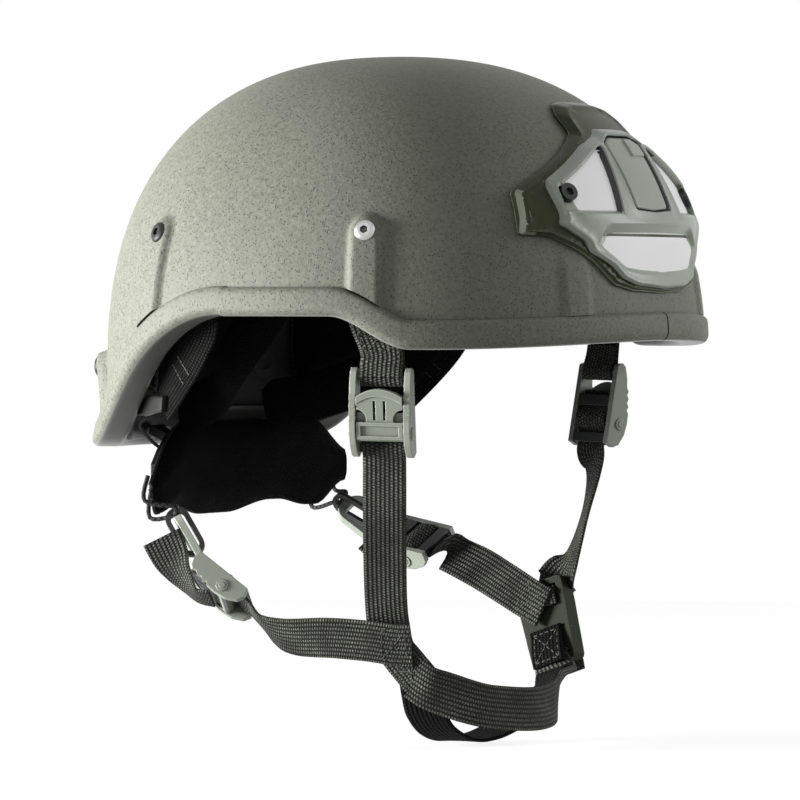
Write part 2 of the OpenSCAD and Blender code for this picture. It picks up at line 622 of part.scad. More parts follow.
// Upper front webbing: from the front side bolt down to a loop round the buckle's top bar
anchor_d = web_seat + web_t / 2 + 2 * seat + web_sag;
module bolt_hole_in_web(a) {
    on_skin(a, side_bolt_z, -24) cylinder(d = hole_d + 0.2, h = 20);
}
module front_anchor(left) {
    m = FRONT_AIM;
    x = -aim_x(m);
    top = skin(-front_bolt_a, side_bolt_z - 8, anchor_d);
    flat = tangent(-front_bolt_a, side_bolt_z);
    color(webbing) hand(left) difference() {
        union() {
            strap([[skin(-front_bolt_a, side_bolt_z + 9, anchor_d), flat], [top, flat],
                [skin(-front_bolt_a, 14, anchor_d - 4), [0.93, 0.37, 0]], [in_aim(m, [0, -0.6, 27]), x],
                [in_aim(m, [0, 0.2, 20]), x], [in_aim(m, [0, 2, 15.6]), x]], steps = 2);
            strap([[in_aim(m, [0, 2, 15.6]), x], [in_aim(m, [0, 0.4, 12.4]), x], [in_aim(m, [0, -2.1, 12]), x],
                [in_aim(m, [0, -3.4, 15]), x], [in_aim(m, [0, -2.4, 22]), x], [in_aim(m, [0, -2.4, 27]), x]],
                steps = 2, t = 1.4);
        }
        bolt_hole_in_web(-front_bolt_a);
    }
}
module front_anchor_right() { front_anchor(false); }
module front_anchor_left() { front_anchor(true); }

// Webbing that hangs from a rear side bolt and carries the end of the nape yoke
yoke_d = -shell_t - lip_t - 0.8;
yoke_t = 2.2;
hanger_d = yoke_d - yoke_t - gap - web_t / 2;
HANGER = [[-117, 55, anchor_d], [-116.9, 38, anchor_d], [-112.5, 26, anchor_d - 2.2], [-109, 14, anchor_d - 3.8],
    [-108.8, 5, hanger_d], [-112, -5, hanger_d], [-117.5, -16.5, hanger_d], [-123.5, -28, hanger_d]];
module rear_hanger(left) {
    color(webbing) hand(left) difference() {
        strap([for (h = HANGER) [skin(h[0], h[1], h[2]), tangent(h[0], h[1])]], steps = 2);
        bolt_hole_in_web(-rear_side_bolt_a);
    }
}
module rear_hanger_right() { rear_hanger(false); }
module rear_hanger_left() { rear_hanger(true); }

// Yoke: a plastic band inside the back of the shell, with a pale rivet each side
module nape_yoke() {
    n = 24;
    function low(a) = let (b = abs(a - 180)) nape_z + 3 + 12 * ramp(30, 41, b) + 2 * ramp(50, 59, b);
    function high(a) = let (b = abs(a - 180)) nape_z + 17 + 7 * ramp(40, 52, b);
    function grid(d) = [for (i = [0:n]) let (a = 121 + 118 * i / n) [for (z = [low(a), high(a)]) skin(a, z, d)]];
    color(black) difference() {
        slab(grid(yoke_d), grid(yoke_d - yoke_t));
        both() on_skin(172, nape_z + 9, -30) cylinder(d = rivet_d, h = 30);
    }
}
rivet_d = 4.4;
module yoke_rivets() {
    color(steel) both() on_skin(172, nape_z + 9, yoke_d - yoke_t) {
        translate([0, 0, -1.1]) scale([1, 1.7, 1]) rotate_extrude() polygon([[0, 0], [rivet_d / 2 + 0.2, 0],
            [rivet_d / 2 + 0.6, 0.5], [rivet_d / 2 + 0.6, 1], [0, 1]]);
        translate([0, 0, -0.3]) cylinder(d = rivet_d - 0.1, h = yoke_t + 0.2);
    }
}

// Nape assembly: curves share one upright axis in front of it, and its back clears the inside of the shell
nape_x = nape_r - (rear_len - 26);
plate_t = 2.4;
function nape(a, z, r) = [nape_x - r * cos(a), r * sin(a), z];
function nape_low(a) = -79 + 5 * ramp(4, 15, abs(a)) - 3 * ramp(17, 23, abs(a)) + 11 * ramp(25, 31, abs(a));
function nape_high(a) = a < 0 ? -37.5 - 27 * ramp(9, 34, -a) : -37.5 - 16 * ramp(24, 32, a);
module nape_pad() {
    n = 16;
    m = 6;
    function grid(face) = [for (i = [0:n]) let (a = -31 + 62 * i / n, s = 1 - 0.6 * pow(abs(a) / 31, 6)) [for (j = [0:m])
        nape(a, mix(nape_low(a), nape_high(a), j / m),
            nape_r - (face ? nape_t * s * (0.5 + 0.5 * crown(j / m)) : 0))]];
    color(knit) slab(grid(true), grid(false));
}
module nape_plate() {
    n = 12;
    out_r = nape_r + gap;
    function grid(r) = [for (i = [0:n]) let (a = -23 + 46 * i / n)
        [for (z = [-68 + 6 * abs(a) / 23, nape_high(a) - 2]) nape(a, z, r)]];
    color(black) union() {
        slab(grid(out_r), grid(out_r + plate_t));
        // Tabs that reach back to the yoke
        for (a = [-11, 11]) hull() {
            translate(nape(a, -46, out_r + plate_t / 2)) cube([plate_t - 1, 8, 4], center = true);
            translate(skin(180 - a * 1.3, -41, yoke_d - yoke_t - 1.9)) cube([1.4, 8, 4], center = true);
        }
    }
}
dial_z = -57;
dial_x = nape_x - (nape_r + gap + plate_t);
module dial_housing() {
    color(black) translate([dial_x - 0.2, 0, dial_z]) rotate([0, -90, 0]) difference() {
        union() {
            cylinder(d = dial_d + 5, h = 3.4);
            cylinder(d = 6, h = 8);
        }
        translate([0, 0, 1.6]) difference() {
            cylinder(d = dial_d - 3, h = 4);
            cylinder(d = 8, h = 4);
        }
    }
}
module fit_dial() {
    grips = 24;
    color(black) translate([dial_x - 4.0, 0, dial_z]) rotate([0, -90, 0]) difference() {
        rotate_extrude() polygon([[3.05, 0], [dial_d / 2, 0], [dial_d / 2, 4.6], [dial_d / 2 - 1, 5.6], [6.5, 6],
            [5.5, 5], [3.05, 5]]);
        for (i = [0:grips - 1]) rotate([0, 0, 360 * i / grips]) translate([dial_d / 2 + 0.35, 0, -1])
            cylinder(d = 1.6, h = 8, $fn = 16);
    }
}
module lace(left) {
    out_r = nape_r + gap + plate_t + 1.2;
    color(black) hand(left) tube([[dial_x - 1.8, -14, dial_z], nape(-7, dial_z + 2, out_r),
        nape(-12, dial_z + 5, out_r), nape(-17, dial_z + 9, out_r), nape(-20.5, dial_z + 12, out_r + 0.4), skin(-141, -38, hanger_d - 0.6), skin(-134, -33, hanger_d),
        skin(-129.5, -27, hanger_d), skin(-128.4, -18, hanger_d), skin(-128.4, -8, hanger_d)], 1.6);
}
module lace_right() { lace(false); }
module lace_left() { lace(true); }

// Padded knit band from the side pad round to the top of the nape pad, [place, width direction]
NAPE_BAND = [[[-3, -81, 52], [0.97, 0.05, 0.25]], [[-5.5, -76, 36], [0.9, 0.05, 0.4]],
    [[-18, -73, 17], [-0.74, 0, 0.66]], [[-28.5, -72.5, 4], [-0.7, 0, 0.7]], [[-43, -69.5, -11.5], [-0.6, 0.08, 0.8]],
    [[-60, -51, -21.5], [-0.35, 0.15, 0.92]], [[-76, -39, -27.5], [-0.2, 0.2, 0.96]]];
NAPE_BAND_END = 13;
band_w = 22;
band_t = 5;
module nape_band(left) {
    end_scale = 0.62;
    top = left ? nape_high(NAPE_BAND_END) : nape_high(-NAPE_BAND_END) - 1.45;
    places = concat([for (s = NAPE_BAND) s[0]],
        [nape(-NAPE_BAND_END, top + gap + band_w / 2 * end_scale, nape_r - nape_t / 3)]);
    sides = concat([for (s = NAPE_BAND) s[0][2] > 20 ? -s[1] : s[1]], [[-0.1, 0.2, 0.97]]);
    n = len(places) - 1;
    steps = 2;
    last = n * steps;
    route = concat([for (i = [0:n - 1]) for (k = [0:steps - 1]) spline(places, i, k / steps)], [places[n]]);
    across = concat([for (i = [0:n - 1]) for (k = [0:steps - 1]) spline(sides, i, k / steps)], [sides[n]]);
    color(knit) hand(left) loft([for (i = [0:last]) let (
            along = unit(route[min(last, i + 1)] - route[max(0, i - 1)]),
            out = unit(cross(along, across[i])),
            side = cross(out, along),
            end = i == 0 || i == last ? end_scale : 1)
        [for (j = [0:11]) route[i] + side * cos(30 * j) * band_w / 2 * end
            - out * sin(30 * j) * band_t / 2 * (0.72 + 0.28 * pow(sin(30 * j), 2)) * end]]);
}
module nape_band_right() { nape_band(false); }
module nape_band_left() { nape_band(true); }

// Oval link that hangs in a cord below the nape pad's corner and passes through the eye of a rear buckle
link_l = 25;
link_hang = 5.5;
link_w = 11;
link_bar = 2.3;
function eye_arc(left) = in_aim(rear_aim(left), [0, -0.4 - (eye_l - eye_bar / 2) * sin(eye_bend),
    eye_z + (eye_l - eye_bar / 2) * cos(eye_bend)]);
function link_up(left) = unit(in_aim(rear_aim(left), [0, -sin(eye_bend), cos(eye_bend)]) - rear_aim(left)[0]);
function link_place(left, z) = eye_arc(left) + link_up(left) * (z - link_hang);
module nape_link(left) {
    m = [link_place(left, 0), link_up(left), aim_x(rear_aim(left))];
    color(black) aim(m[0], m[1], m[2]) rotate([90, 0, 0]) linear_extrude(height = 2.2, center = true) difference() {
        hull() for (s = [-1, 1]) translate([0, s * (link_l - link_w) / 2]) circle(d = link_w);
        hull() for (s = [-1, 1]) translate([0, s * (link_l - link_w) / 2]) circle(d = link_w - 2 * link_bar);
    }
}
module nape_link_right() { nape_link(false); }
module nape_link_left() { nape_link(true); }
module link_cord(left) {
    h = left ? 1 : -1;
    d = 2;
    hold = link_place(left, link_l / 2 - link_bar - d / 2 - 0.2);
    x = aim_x(rear_aim(left)) * h;
    out_r = nape_r + d / 2 + gap;
    color(black) tube([nape(28.5 * h, -60, out_r), nape(29.6 * h, -71, out_r + 1), hold + x * 5 + [0, 0, 2.2],
        hold + x * 2, hold - x * 2, hold - x * 5 + [0, 0, 2.2], nape(25 * h, -79, out_r + 0.6),
        nape(24.6 * h, -65, out_r)], d);
}
module link_cord_right() { link_cord(false); }
module link_cord_left() { link_cord(true); }

// Webbing below the buckles, [place, width direction]
function cam_entry(m) = [for (p = [[0.5, 6.6], [0.85, 1], [-2.7, -6.5], [1, -13.8], [0.8, -20]])
    [in_aim(m, [0, p[0], p[1]]), aim_x(m)]];
RIGHT_FRONT = concat(cam_entry(FRONT_AIM), [[[49, -86.5, -58.5], [-0.95, -0.31, 0]], [[45.1, -80.5, -75.8], [-0.95, -0.31, 0]],
    [[40.7, -73.5, -93.2], [-0.95, -0.31, 0]], [[36.7, -66.5, -110.8], [-0.95, -0.29, 0.05]],
    [[35.3, -62.3, -121.9], [-0.95, -0.27, -0.1]], [[37.6, -60.2, -132.1], [-0.885, 0.02, -0.45]],
    [[43.4, -58.7, -139.5], [-0.80, 0.05, -0.6]], [[50.1, -57.2, -147], [-0.75, 0.06, -0.655]]]);
module front_strap_right() { color(webbing) strap(RIGHT_FRONT, steps = 2); }
LEFT_FRONT = concat([for (s = cam_entry(FRONT_AIM)) [[s[0][0], -s[0][1], s[0][2]], [s[1][0], -s[1][1], s[1][2]]]],
    [[[51.8, 84, -56], [-0.8, 0.58, 0]], [[52, 81.5, -66], [-0.68, 0.73, 0]], [[50, 78.5, -79.7], [-0.6, 0.79, 0]],
    [[45.6, 76.5, -96.3], [-0.7, 0.7, 0]], [[41, 76.2, -105], [-0.85, 0.4, 0]],
    [in_aim(CHIN_AIM, [1.2, chin_t / 2 + 3.5, web_slot + 4]), -aim_x(CHIN_AIM)],
    [in_aim(CHIN_AIM, [0, chin_t / 2, web_slot]), -aim_x(CHIN_AIM)],
    [in_aim(CHIN_AIM, [0, -chin_t / 2, web_slot]), -aim_x(CHIN_AIM)],
    [in_aim(CHIN_AIM, [0, -chin_t / 2 - 1.5, web_slot - 2.4]), -aim_x(CHIN_AIM)],
    [in_aim(CHIN_AIM, [0, -chin_t / 2 - 1.3, web_slot - 8]), -aim_x(CHIN_AIM)]]);
module front_strap_left() { color(webbing) strap(LEFT_FRONT, steps = 2); }
RIGHT_REAR = concat(cam_entry(REAR_RIGHT_AIM), [[[-24, -67.2, -125.5], [0.2, 0.6, -0.75]], [[-11.3, -69, -128.5], [0.05, 0.5, -0.85]],
    [[10.2, -70, -128], [0, 0.35, -0.93]], [[26.9, -67.6, -128.7], [0, 0.3, -0.95]], [[38.8, -64.8, -130.1], [0, 0.3, -0.95]],
    [[47.2, -63, -130.3], [0, 0.3, -0.95]]]);
module rear_strap_right() { color(webbing) strap(RIGHT_REAR, steps = 2); }
LEFT_REAR = concat(cam_entry(REAR_LEFT_AIM), [[[-13.7, 69, -99.5], [-0.2, -0.5, -0.8]], [[0.2, 68.6, -105], [-0.22, -0.35, -0.9]],
    [[14.5, 66.6, -111.4], [-0.2, -0.2, -0.95]], [[27, 65.6, -117.5], [-0.2, -0.12, -0.95]], [[36.5, 64.5, -121.6], [-0.2, -0.1, -0.95]]]);
module rear_strap_left() { color(webbing) strap(LEFT_REAR, steps = 2); }

// Free tail of a rear strap, which comes out under the lever and turns back; the right one twists
TWISTED_TAIL = [[[-63.6, -77.4, -103], [-0.68, 0.45, -0.6]], [[-67.7, -78.5, -95.5], [-0.72, -0.1, -0.6]],
    [[-72.4, -79.4, -86.5], [-0.7, -0.42, -0.58]]];
module strap_tail(left) {
    m = rear_aim(left);
    x = aim_x(m);
    root = [[in_aim(m, [0, 8.5, -4]), x], [in_aim(m, [0, 11.6, 3]), x]];
    color(webbing) strap(concat(root, left ? [[in_aim(m, [0, 12, 12]), x], [in_aim(m, [0, 7, 21]), x]] : TWISTED_TAIL),
        steps = 2, w = web_w - 1);
}
module strap_tail_right() { strap_tail(false); }
module strap_tail_left() { strap_tail(true); }

// Chin straps, from the right-hand laps round the chin to the plug
CHIN_FRONT = [[[47.2, -60.9, -144.4], [0.54, -0.03, 0.83]], [[53.3, -59.7, -148], [0.4, 0, 0.9]],
    [[59.5, -55, -150.9], [0.15, 0.05, 0.97]], [[66.2, -49, -154], [-0.02, 0.1, 0.98]],
    [[71.3, -41, -156.5], [-0.1, 0.1, 0.98]], [[74.7, -31, -158], [-0.1, 0.1, 0.98]], [[77.5, -19, -159.2], [-0.1, 0.1, 0.98]],
    [[77.7, -6, -159.7], [-0.1, 0.1, 0.98]], [[74.9, 8, -159.2], [-0.1, 0.1, 0.98]], [[69.5, 21, -157.6], [0, 0.1, 0.98]],
    [[62.5, 33, -155.2], [0.3, 0, 0.95]], [[55.5, 46, -152.5], [0.75, 0.1, 0.65]], [[48.5, 57, -151], [0.9, 0.2, 0.35]],
    [in_aim(CHIN_AIM, [0, -chin_t / 2 - 1.8, plug_slot - 4]), aim_x(CHIN_AIM)],
    [in_aim(CHIN_AIM, [0, -chin_t / 2, plug_slot]), aim_x(CHIN_AIM)],
    [in_aim(CHIN_AIM, [0, chin_t / 2, plug_slot]), aim_x(CHIN_AIM)],
    [in_aim(CHIN_AIM, [0, chin_t / 2 + 1.5, plug_slot - 3]), aim_x(CHIN_AIM)],
    [in_aim(CHIN_AIM, [0, chin_t / 2 + 1.3, plug_slot - 9]), aim_x(CHIN_AIM)]];
module chin_strap() { color(webbing) strap(CHIN_FRONT, steps = 2); }
UNDER = [[[46, -55, -143.5], [-0.85, -0.05, -0.5]], [[46.6, -53.2, -152], [-0.95, -0.2, -0.2]], [[47.5, -51, -160.5], [-0.97, -0.2, 0]],
    [[48.8, -44, -168], [-0.97, -0.2, 0]], [[52.1, -33, -172.4], [-0.97, -0.2, 0]], [[55, -18, -172.1], [-0.98, -0.1, 0]],
    [[55.7, 0, -168.7], [-0.98, 0, 0]], [[55, 18, -163.8], [-0.98, 0.1, 0]], [[49.5, 30, -161.8], [-0.97, 0.1, -0.1]],
    [[49, 38, -157.6], [-0.87, 0, -0.45]], [[50.4, 46.1, -151.7], [-0.8, -0.1, -0.6]],
    [[47.6, 55.8, -148.6], [-0.9, -0.2, -0.35]]];
module under_chin_strap() { color(webbing) strap(UNDER, steps = 2); }

// Chin buckle: x across, y outwards, z along the strap from the plug to the socket
tongue_l = 15;
tongue_w = 15;
tongue_t = 2.6;
button_w = 11;
button_l = 10;
button_t = 1.7;
button_proud = 0.7;
press = 1.1;
module chin_body(length, w0, w1) {
    rotate([90, 0, 0]) linear_extrude(height = chin_t, center = true) hull() {
        translate([0, -length / 2 + 1]) square([w0, 2], center = true);
        translate([0, length / 2 - 3]) circle(r = 3);
        for (s = [-1, 1]) translate([s * (w1 / 2 - 3), length / 2 - 3]) circle(r = 3);
    }
}
module chin_socket() {
    color(olive) aim(CHIN_AIM[0], CHIN_AIM[1], CHIN_AIM[2]) difference() {
        intersection() {
            chin_body(socket_l, chin_w - 2, chin_w);
            across_x(chin_w + 2) polygon([[-chin_t / 2, -socket_l], [-chin_t / 2, socket_l], [0, socket_l],
                [chin_t / 2 - 2.5, socket_l / 2 - 1], [chin_t / 2 - 0.5, socket_l / 4], [chin_t / 2, 0], [chin_t / 2, -socket_l]]);
        }
        // Mouth for the tongue, well for the button and the slot for the webbing
        translate([0, -0.8, -socket_l / 2 + (tongue_l + 1) / 2 - 1])
            cube([tongue_w + 0.8, tongue_t + 0.8, tongue_l + 2], center = true);
        translate([0, chin_t / 2, -1])
            cube([button_w + 0.8, 2 * (button_t - button_proud + press + 0.1), button_l + 0.8], center = true);
        translate([0, 0, web_slot]) cube([web_w + 1, chin_t + 2, 3.4], center = true);
    }
}
module chin_button() {
    color(pale_green) aim(CHIN_AIM[0], CHIN_AIM[1], CHIN_AIM[2]) translate([0, chin_t / 2 + button_proud, -1]) difference() {
        translate([0, -button_t / 2, 0]) cube([button_w, button_t, button_l], center = true);
        for (z = [-3, 0, 3]) translate([0, 0.3, z]) rotate([0, 90, 0]) cylinder(d = 1.4, h = button_w + 2, center = true);
    }
}
module chin_plug() {
    color(olive) aim(CHIN_AIM[0], CHIN_AIM[1], CHIN_AIM[2]) translate([0, 0, -socket_l / 2 - seat]) difference() {
        union() {
            translate([0, -0.8, (tongue_l - 1.2) / 2]) cube([tongue_w, tongue_t, tongue_l - 1.2], center = true);
            translate([0, 0, -plug_l / 2]) rotate([180, 0, 0]) chin_body(plug_l, chin_w - 2, chin_w - 3);
        }
        translate([0, 0, -plug_l + 5]) cube([web_w + 1, chin_t + 2, 3.4], center = true);
        translate([0, -0.8, 8]) cube([7, 4, 5], center = true);
    }
}
// Stitched patch on the inner side of the chin strap, over the plug's slot
module chin_lap() {
    m = CHIN_AIM;
    x = aim_x(m);
    color(black) strap([[in_aim(m, [0, -chin_t / 2 - 4, plug_slot - 5]), x],
        [in_aim(m, [0, -chin_t / 2 - 2.9, plug_slot + 3]), x], [in_aim(m, [0, -chin_t / 2 - 1.3, plug_slot + 8]), x],
        [in_aim(m, [0, -chin_t / 2 - 1.1, plug_slot + 12]), x]], steps = 2, w = web_w - 1);
}

shell();
edge_trim();
front_side_bolts();
rear_side_bolts();
rear_bolts();
bolt_nuts();
shroud_gasket();
shroud_base();
shroud_insert();
shroud_plate();
shroud_screws();
front_pad();
crown_pad();
rear_pad();
temple_pad_right();
temple_pad_left();
side_pad_right();
side_pad_left();
occipital_pad_right();
occipital_pad_left();
front_anchor_right();
front_anchor_left();
rear_hanger_right();
rear_hanger_left();
nape_band_right();
nape_band_left();
nape_yoke();
yoke_rivets();
nape_plate();
nape_pad();
dial_housing();
fit_dial();
lace_right();
lace_left();
nape_link_right();
nape_link_left();
link_cord_right();
link_cord_left();
front_buckle_right();
front_buckle_left();
front_lever_right();
front_lever_left();
rear_buckle_right();
rear_buckle_left();
rear_lever_right();
rear_lever_left();
front_strap_right();
front_strap_left();
rear_strap_right();
rear_strap_left();
strap_tail_right();
strap_tail_left();
chin_strap();
under_chin_strap();
chin_lap();
chin_socket();
chin_plug();
chin_button();
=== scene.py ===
"""Looks of the rescue helmet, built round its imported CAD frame. Lengths below are in millimetres."""
import math

import bpy
import numpy as np
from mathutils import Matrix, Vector
from mathutils.geometry import delaunay_2d_cdt


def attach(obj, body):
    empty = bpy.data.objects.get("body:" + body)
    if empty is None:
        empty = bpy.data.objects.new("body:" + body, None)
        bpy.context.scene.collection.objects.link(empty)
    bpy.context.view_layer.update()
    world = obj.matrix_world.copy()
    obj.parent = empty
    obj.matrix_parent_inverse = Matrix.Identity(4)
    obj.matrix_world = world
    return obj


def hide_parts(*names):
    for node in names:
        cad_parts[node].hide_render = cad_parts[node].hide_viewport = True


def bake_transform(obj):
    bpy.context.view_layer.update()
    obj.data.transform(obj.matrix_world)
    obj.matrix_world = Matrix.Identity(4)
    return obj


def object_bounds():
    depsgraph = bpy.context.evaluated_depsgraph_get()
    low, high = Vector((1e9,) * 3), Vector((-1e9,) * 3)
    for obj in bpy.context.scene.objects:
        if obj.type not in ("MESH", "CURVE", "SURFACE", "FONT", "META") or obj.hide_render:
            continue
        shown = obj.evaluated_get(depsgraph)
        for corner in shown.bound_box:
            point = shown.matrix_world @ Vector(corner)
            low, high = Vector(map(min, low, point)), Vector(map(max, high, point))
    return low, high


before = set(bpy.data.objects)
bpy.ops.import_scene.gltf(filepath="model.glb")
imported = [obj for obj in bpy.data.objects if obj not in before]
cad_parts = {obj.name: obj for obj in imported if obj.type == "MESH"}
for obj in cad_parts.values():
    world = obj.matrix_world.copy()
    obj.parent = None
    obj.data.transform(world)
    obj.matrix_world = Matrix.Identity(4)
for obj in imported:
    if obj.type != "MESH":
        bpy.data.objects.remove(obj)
CAD_BOX = [list(corner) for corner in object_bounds()]
MM = 0.001
scene = bpy.context.scene
HANDS = ((False, "right"), (True, "left"))

# Driving sizes, as in the part's source
FRONT_LEN, REAR_LEN, HALF_W, CROWN_Z = 135, 128, 121, 125
SHELL_T, RIB_W, RIB_FILLET = 8, 13, 2.2
WAIST_Z, PLAN_N, DOME_M = -14, 2.19, 2.39
TEMPLE_Z, ARCH_Z, NAPE_Z = -3.2, 10.6, -48
TRIM_H, TRIM_T, SEAM_W, LIP_T = 12.3, 2.6, 1.1, 3
BOLT_Z, ANCHOR_A = 46, 63.7
WEB_W, WEB_T = 19, 1.6
PAD_T, PAD_D = 17, -SHELL_T - 1.1
RIBS = [(23, 28, 1.5, 1.5), (ANCHOR_A, BOLT_Z, 2.5, 2.5), (116.9, BOLT_Z, 2.5, 2.5), (154, -12, 6, 2.5)]
ANCHOR_D = -SHELL_T - 1.1 - WEB_T + WEB_T / 2 + 0.2
YOKE_D, YOKE_T = -SHELL_T - LIP_T - 0.8, 2.2
HANGER_D = YOKE_D - YOKE_T - 0.3 - WEB_T / 2
NAPE_X, NAPE_R, NAPE_T, PLATE_T = 48, 150, 9, 2.4
CHIN_T, SOCKET_L, PLUG_L = 8, 24, 15
SHROUD_GAP, GASKET_T, BASE_T, INSERT_T = 0.5, 0.7, 3, 3
APRON_D, FLOOR_D = 4.4, 5.0
UPPER_D = SHROUD_GAP + GASKET_T + BASE_T


# Shape formulas
def unit(v):
    v = np.asarray(v, float)
    return v / np.linalg.norm(v, axis=-1, keepdims=True)


def ramp(a, b, x):
    t = np.clip((x - a) / (b - a), 0, 1)
    return t * t * (3 - 2 * t)


def mix(p, q, t):
    return p + (q - p) * t


def fold(a):
    b = np.abs(a) % 360
    return np.where(b > 180, 360 - b, b)


def plan_r(a, d=0):
    c, s = np.cos(np.radians(a)), np.sin(np.radians(a))
    length = np.where(c > 0, FRONT_LEN, REAR_LEN) + d
    return (np.abs(c / length) ** PLAN_N + np.abs(s / (HALF_W + d)) ** PLAN_N) ** (-1 / PLAN_N)


def flare(a, z):
    out = mix(2, 7, (1 - np.cos(np.radians(a))) / 2)
    return np.where(z >= WAIST_Z, 0, out * (np.minimum(0, z - WAIST_Z) / 40) ** 2)


def dome_k(z, d):
    q = np.clip((z - WAIST_Z) / (CROWN_Z - WAIST_Z + d), 0, 1)
    return np.maximum(0, 1 - q ** DOME_M) ** (1 / DOME_M)


def skin(a, z, d=0.0):
    """Point at angle a and height z, d outside the shell's painted face."""
    a, z, d = np.broadcast_arrays(np.asarray(a, float), np.asarray(z, float), np.asarray(d, float))
    r = plan_r(a, d) * dome_k(z, d) + flare(a, z)
    return np.stack([r * np.cos(np.radians(a)), r * np.sin(np.radians(a)), z], -1)


def tangent(a, z):
    return unit(skin(a + 0.5, z) - skin(a - 0.5, z))


def high_z(q, d=0.0):
    return WAIST_Z + (CROWN_Z - WAIST_Z + d) * np.sin(np.radians(q)) ** (2 / DOME_M)


def rim(a):
    """Height of the finished edge round the helmet."""
    b = fold(a)
    u = np.maximum(0, (b - 96) / 43)
    front = TEMPLE_Z * ramp(0, 50, b) + (ARCH_Z - TEMPLE_Z) * ramp(55, 71, b)
    low = front - 63 * u ** 1.9
    rear = (low + NAPE_Z + np.sqrt((low - NAPE_Z) ** 2 + 144)) / 2 - 0.6 * ramp(96, 139, b)
    return np.where(b < 96, front, rear)


def rim_slope(a):
    return (rim(a + 1) - rim(a - 1)) / (2 * plan_r(a) * math.pi / 180)


def rib_at(a, z):
    best = np.zeros(np.broadcast(a, z).shape)
    for angle, top, proud_top, proud_low in RIBS:
        side = (fold(a) - angle) * plan_r(angle) * math.pi / 180
        far = np.hypot(side, np.maximum(0, z - top))
        low = rim(angle) + TRIM_H
        rise = np.clip((z - low) / (top - low), 0, 1)
        height = mix(proud_low, proud_top, rise)
        best = np.maximum(best, height * (1 - ramp(RIB_W / 2 - RIB_FILLET / 2, RIB_W / 2 + RIB_FILLET, far)))
    return best


def nape(a, z, r):
    a = np.radians(a)
    return np.stack(np.broadcast_arrays(NAPE_X - r * np.cos(a), r * np.sin(a), z), -1)


def nape_low(a):
    b = np.abs(a)
    return -79 + 5 * ramp(4, 15, b) - 3 * ramp(17, 23, b) + 11 * ramp(25, 31, b)


def nape_high(a):
    return np.where(a < 0, -37.5 - 27 * ramp(9, 34, -a), -37.5 - 16 * ramp(24, 32, a))


class Aim:
    """Local frame of a buckle: x across the webbing, y outwards from the head, z up along the strap."""

    def __init__(self, place, up, out):
        self.place = np.array(place, float)
        self.z = unit(up)
        self.y = unit(np.array(out, float) - self.z * np.dot(out, self.z))
        self.x = np.cross(self.y, self.z)

    def at(self, x, y, z):
        return self.place + self.x * x + self.y * y + self.z * z


def mirrored(points):
    return np.asarray(points, float) * (1, -1, 1)


FRONT = Aim((50, -89, -30), (0.07, -0.17, 0.98), (0.309, -0.951, 0))
REAR_RIGHT = Aim((-50.6, -67.2, -104.9), (-0.81, -0.116, 0.575), (-0.354, -0.586, -0.782))
REAR_LEFT = Aim((-40.3, 68.3, -91.6), (-0.98, -0.04, 0.19), (-0.15, 0.45, -0.88))
CHIN = Aim((34, 72, -122.3), (-0.32, 0.13, 0.94), (0.1, 1, -0.1))
WEB_SLOT = SOCKET_L / 2 - 4.6
PLUG_SLOT = -SOCKET_L / 2 - PLUG_L + 5


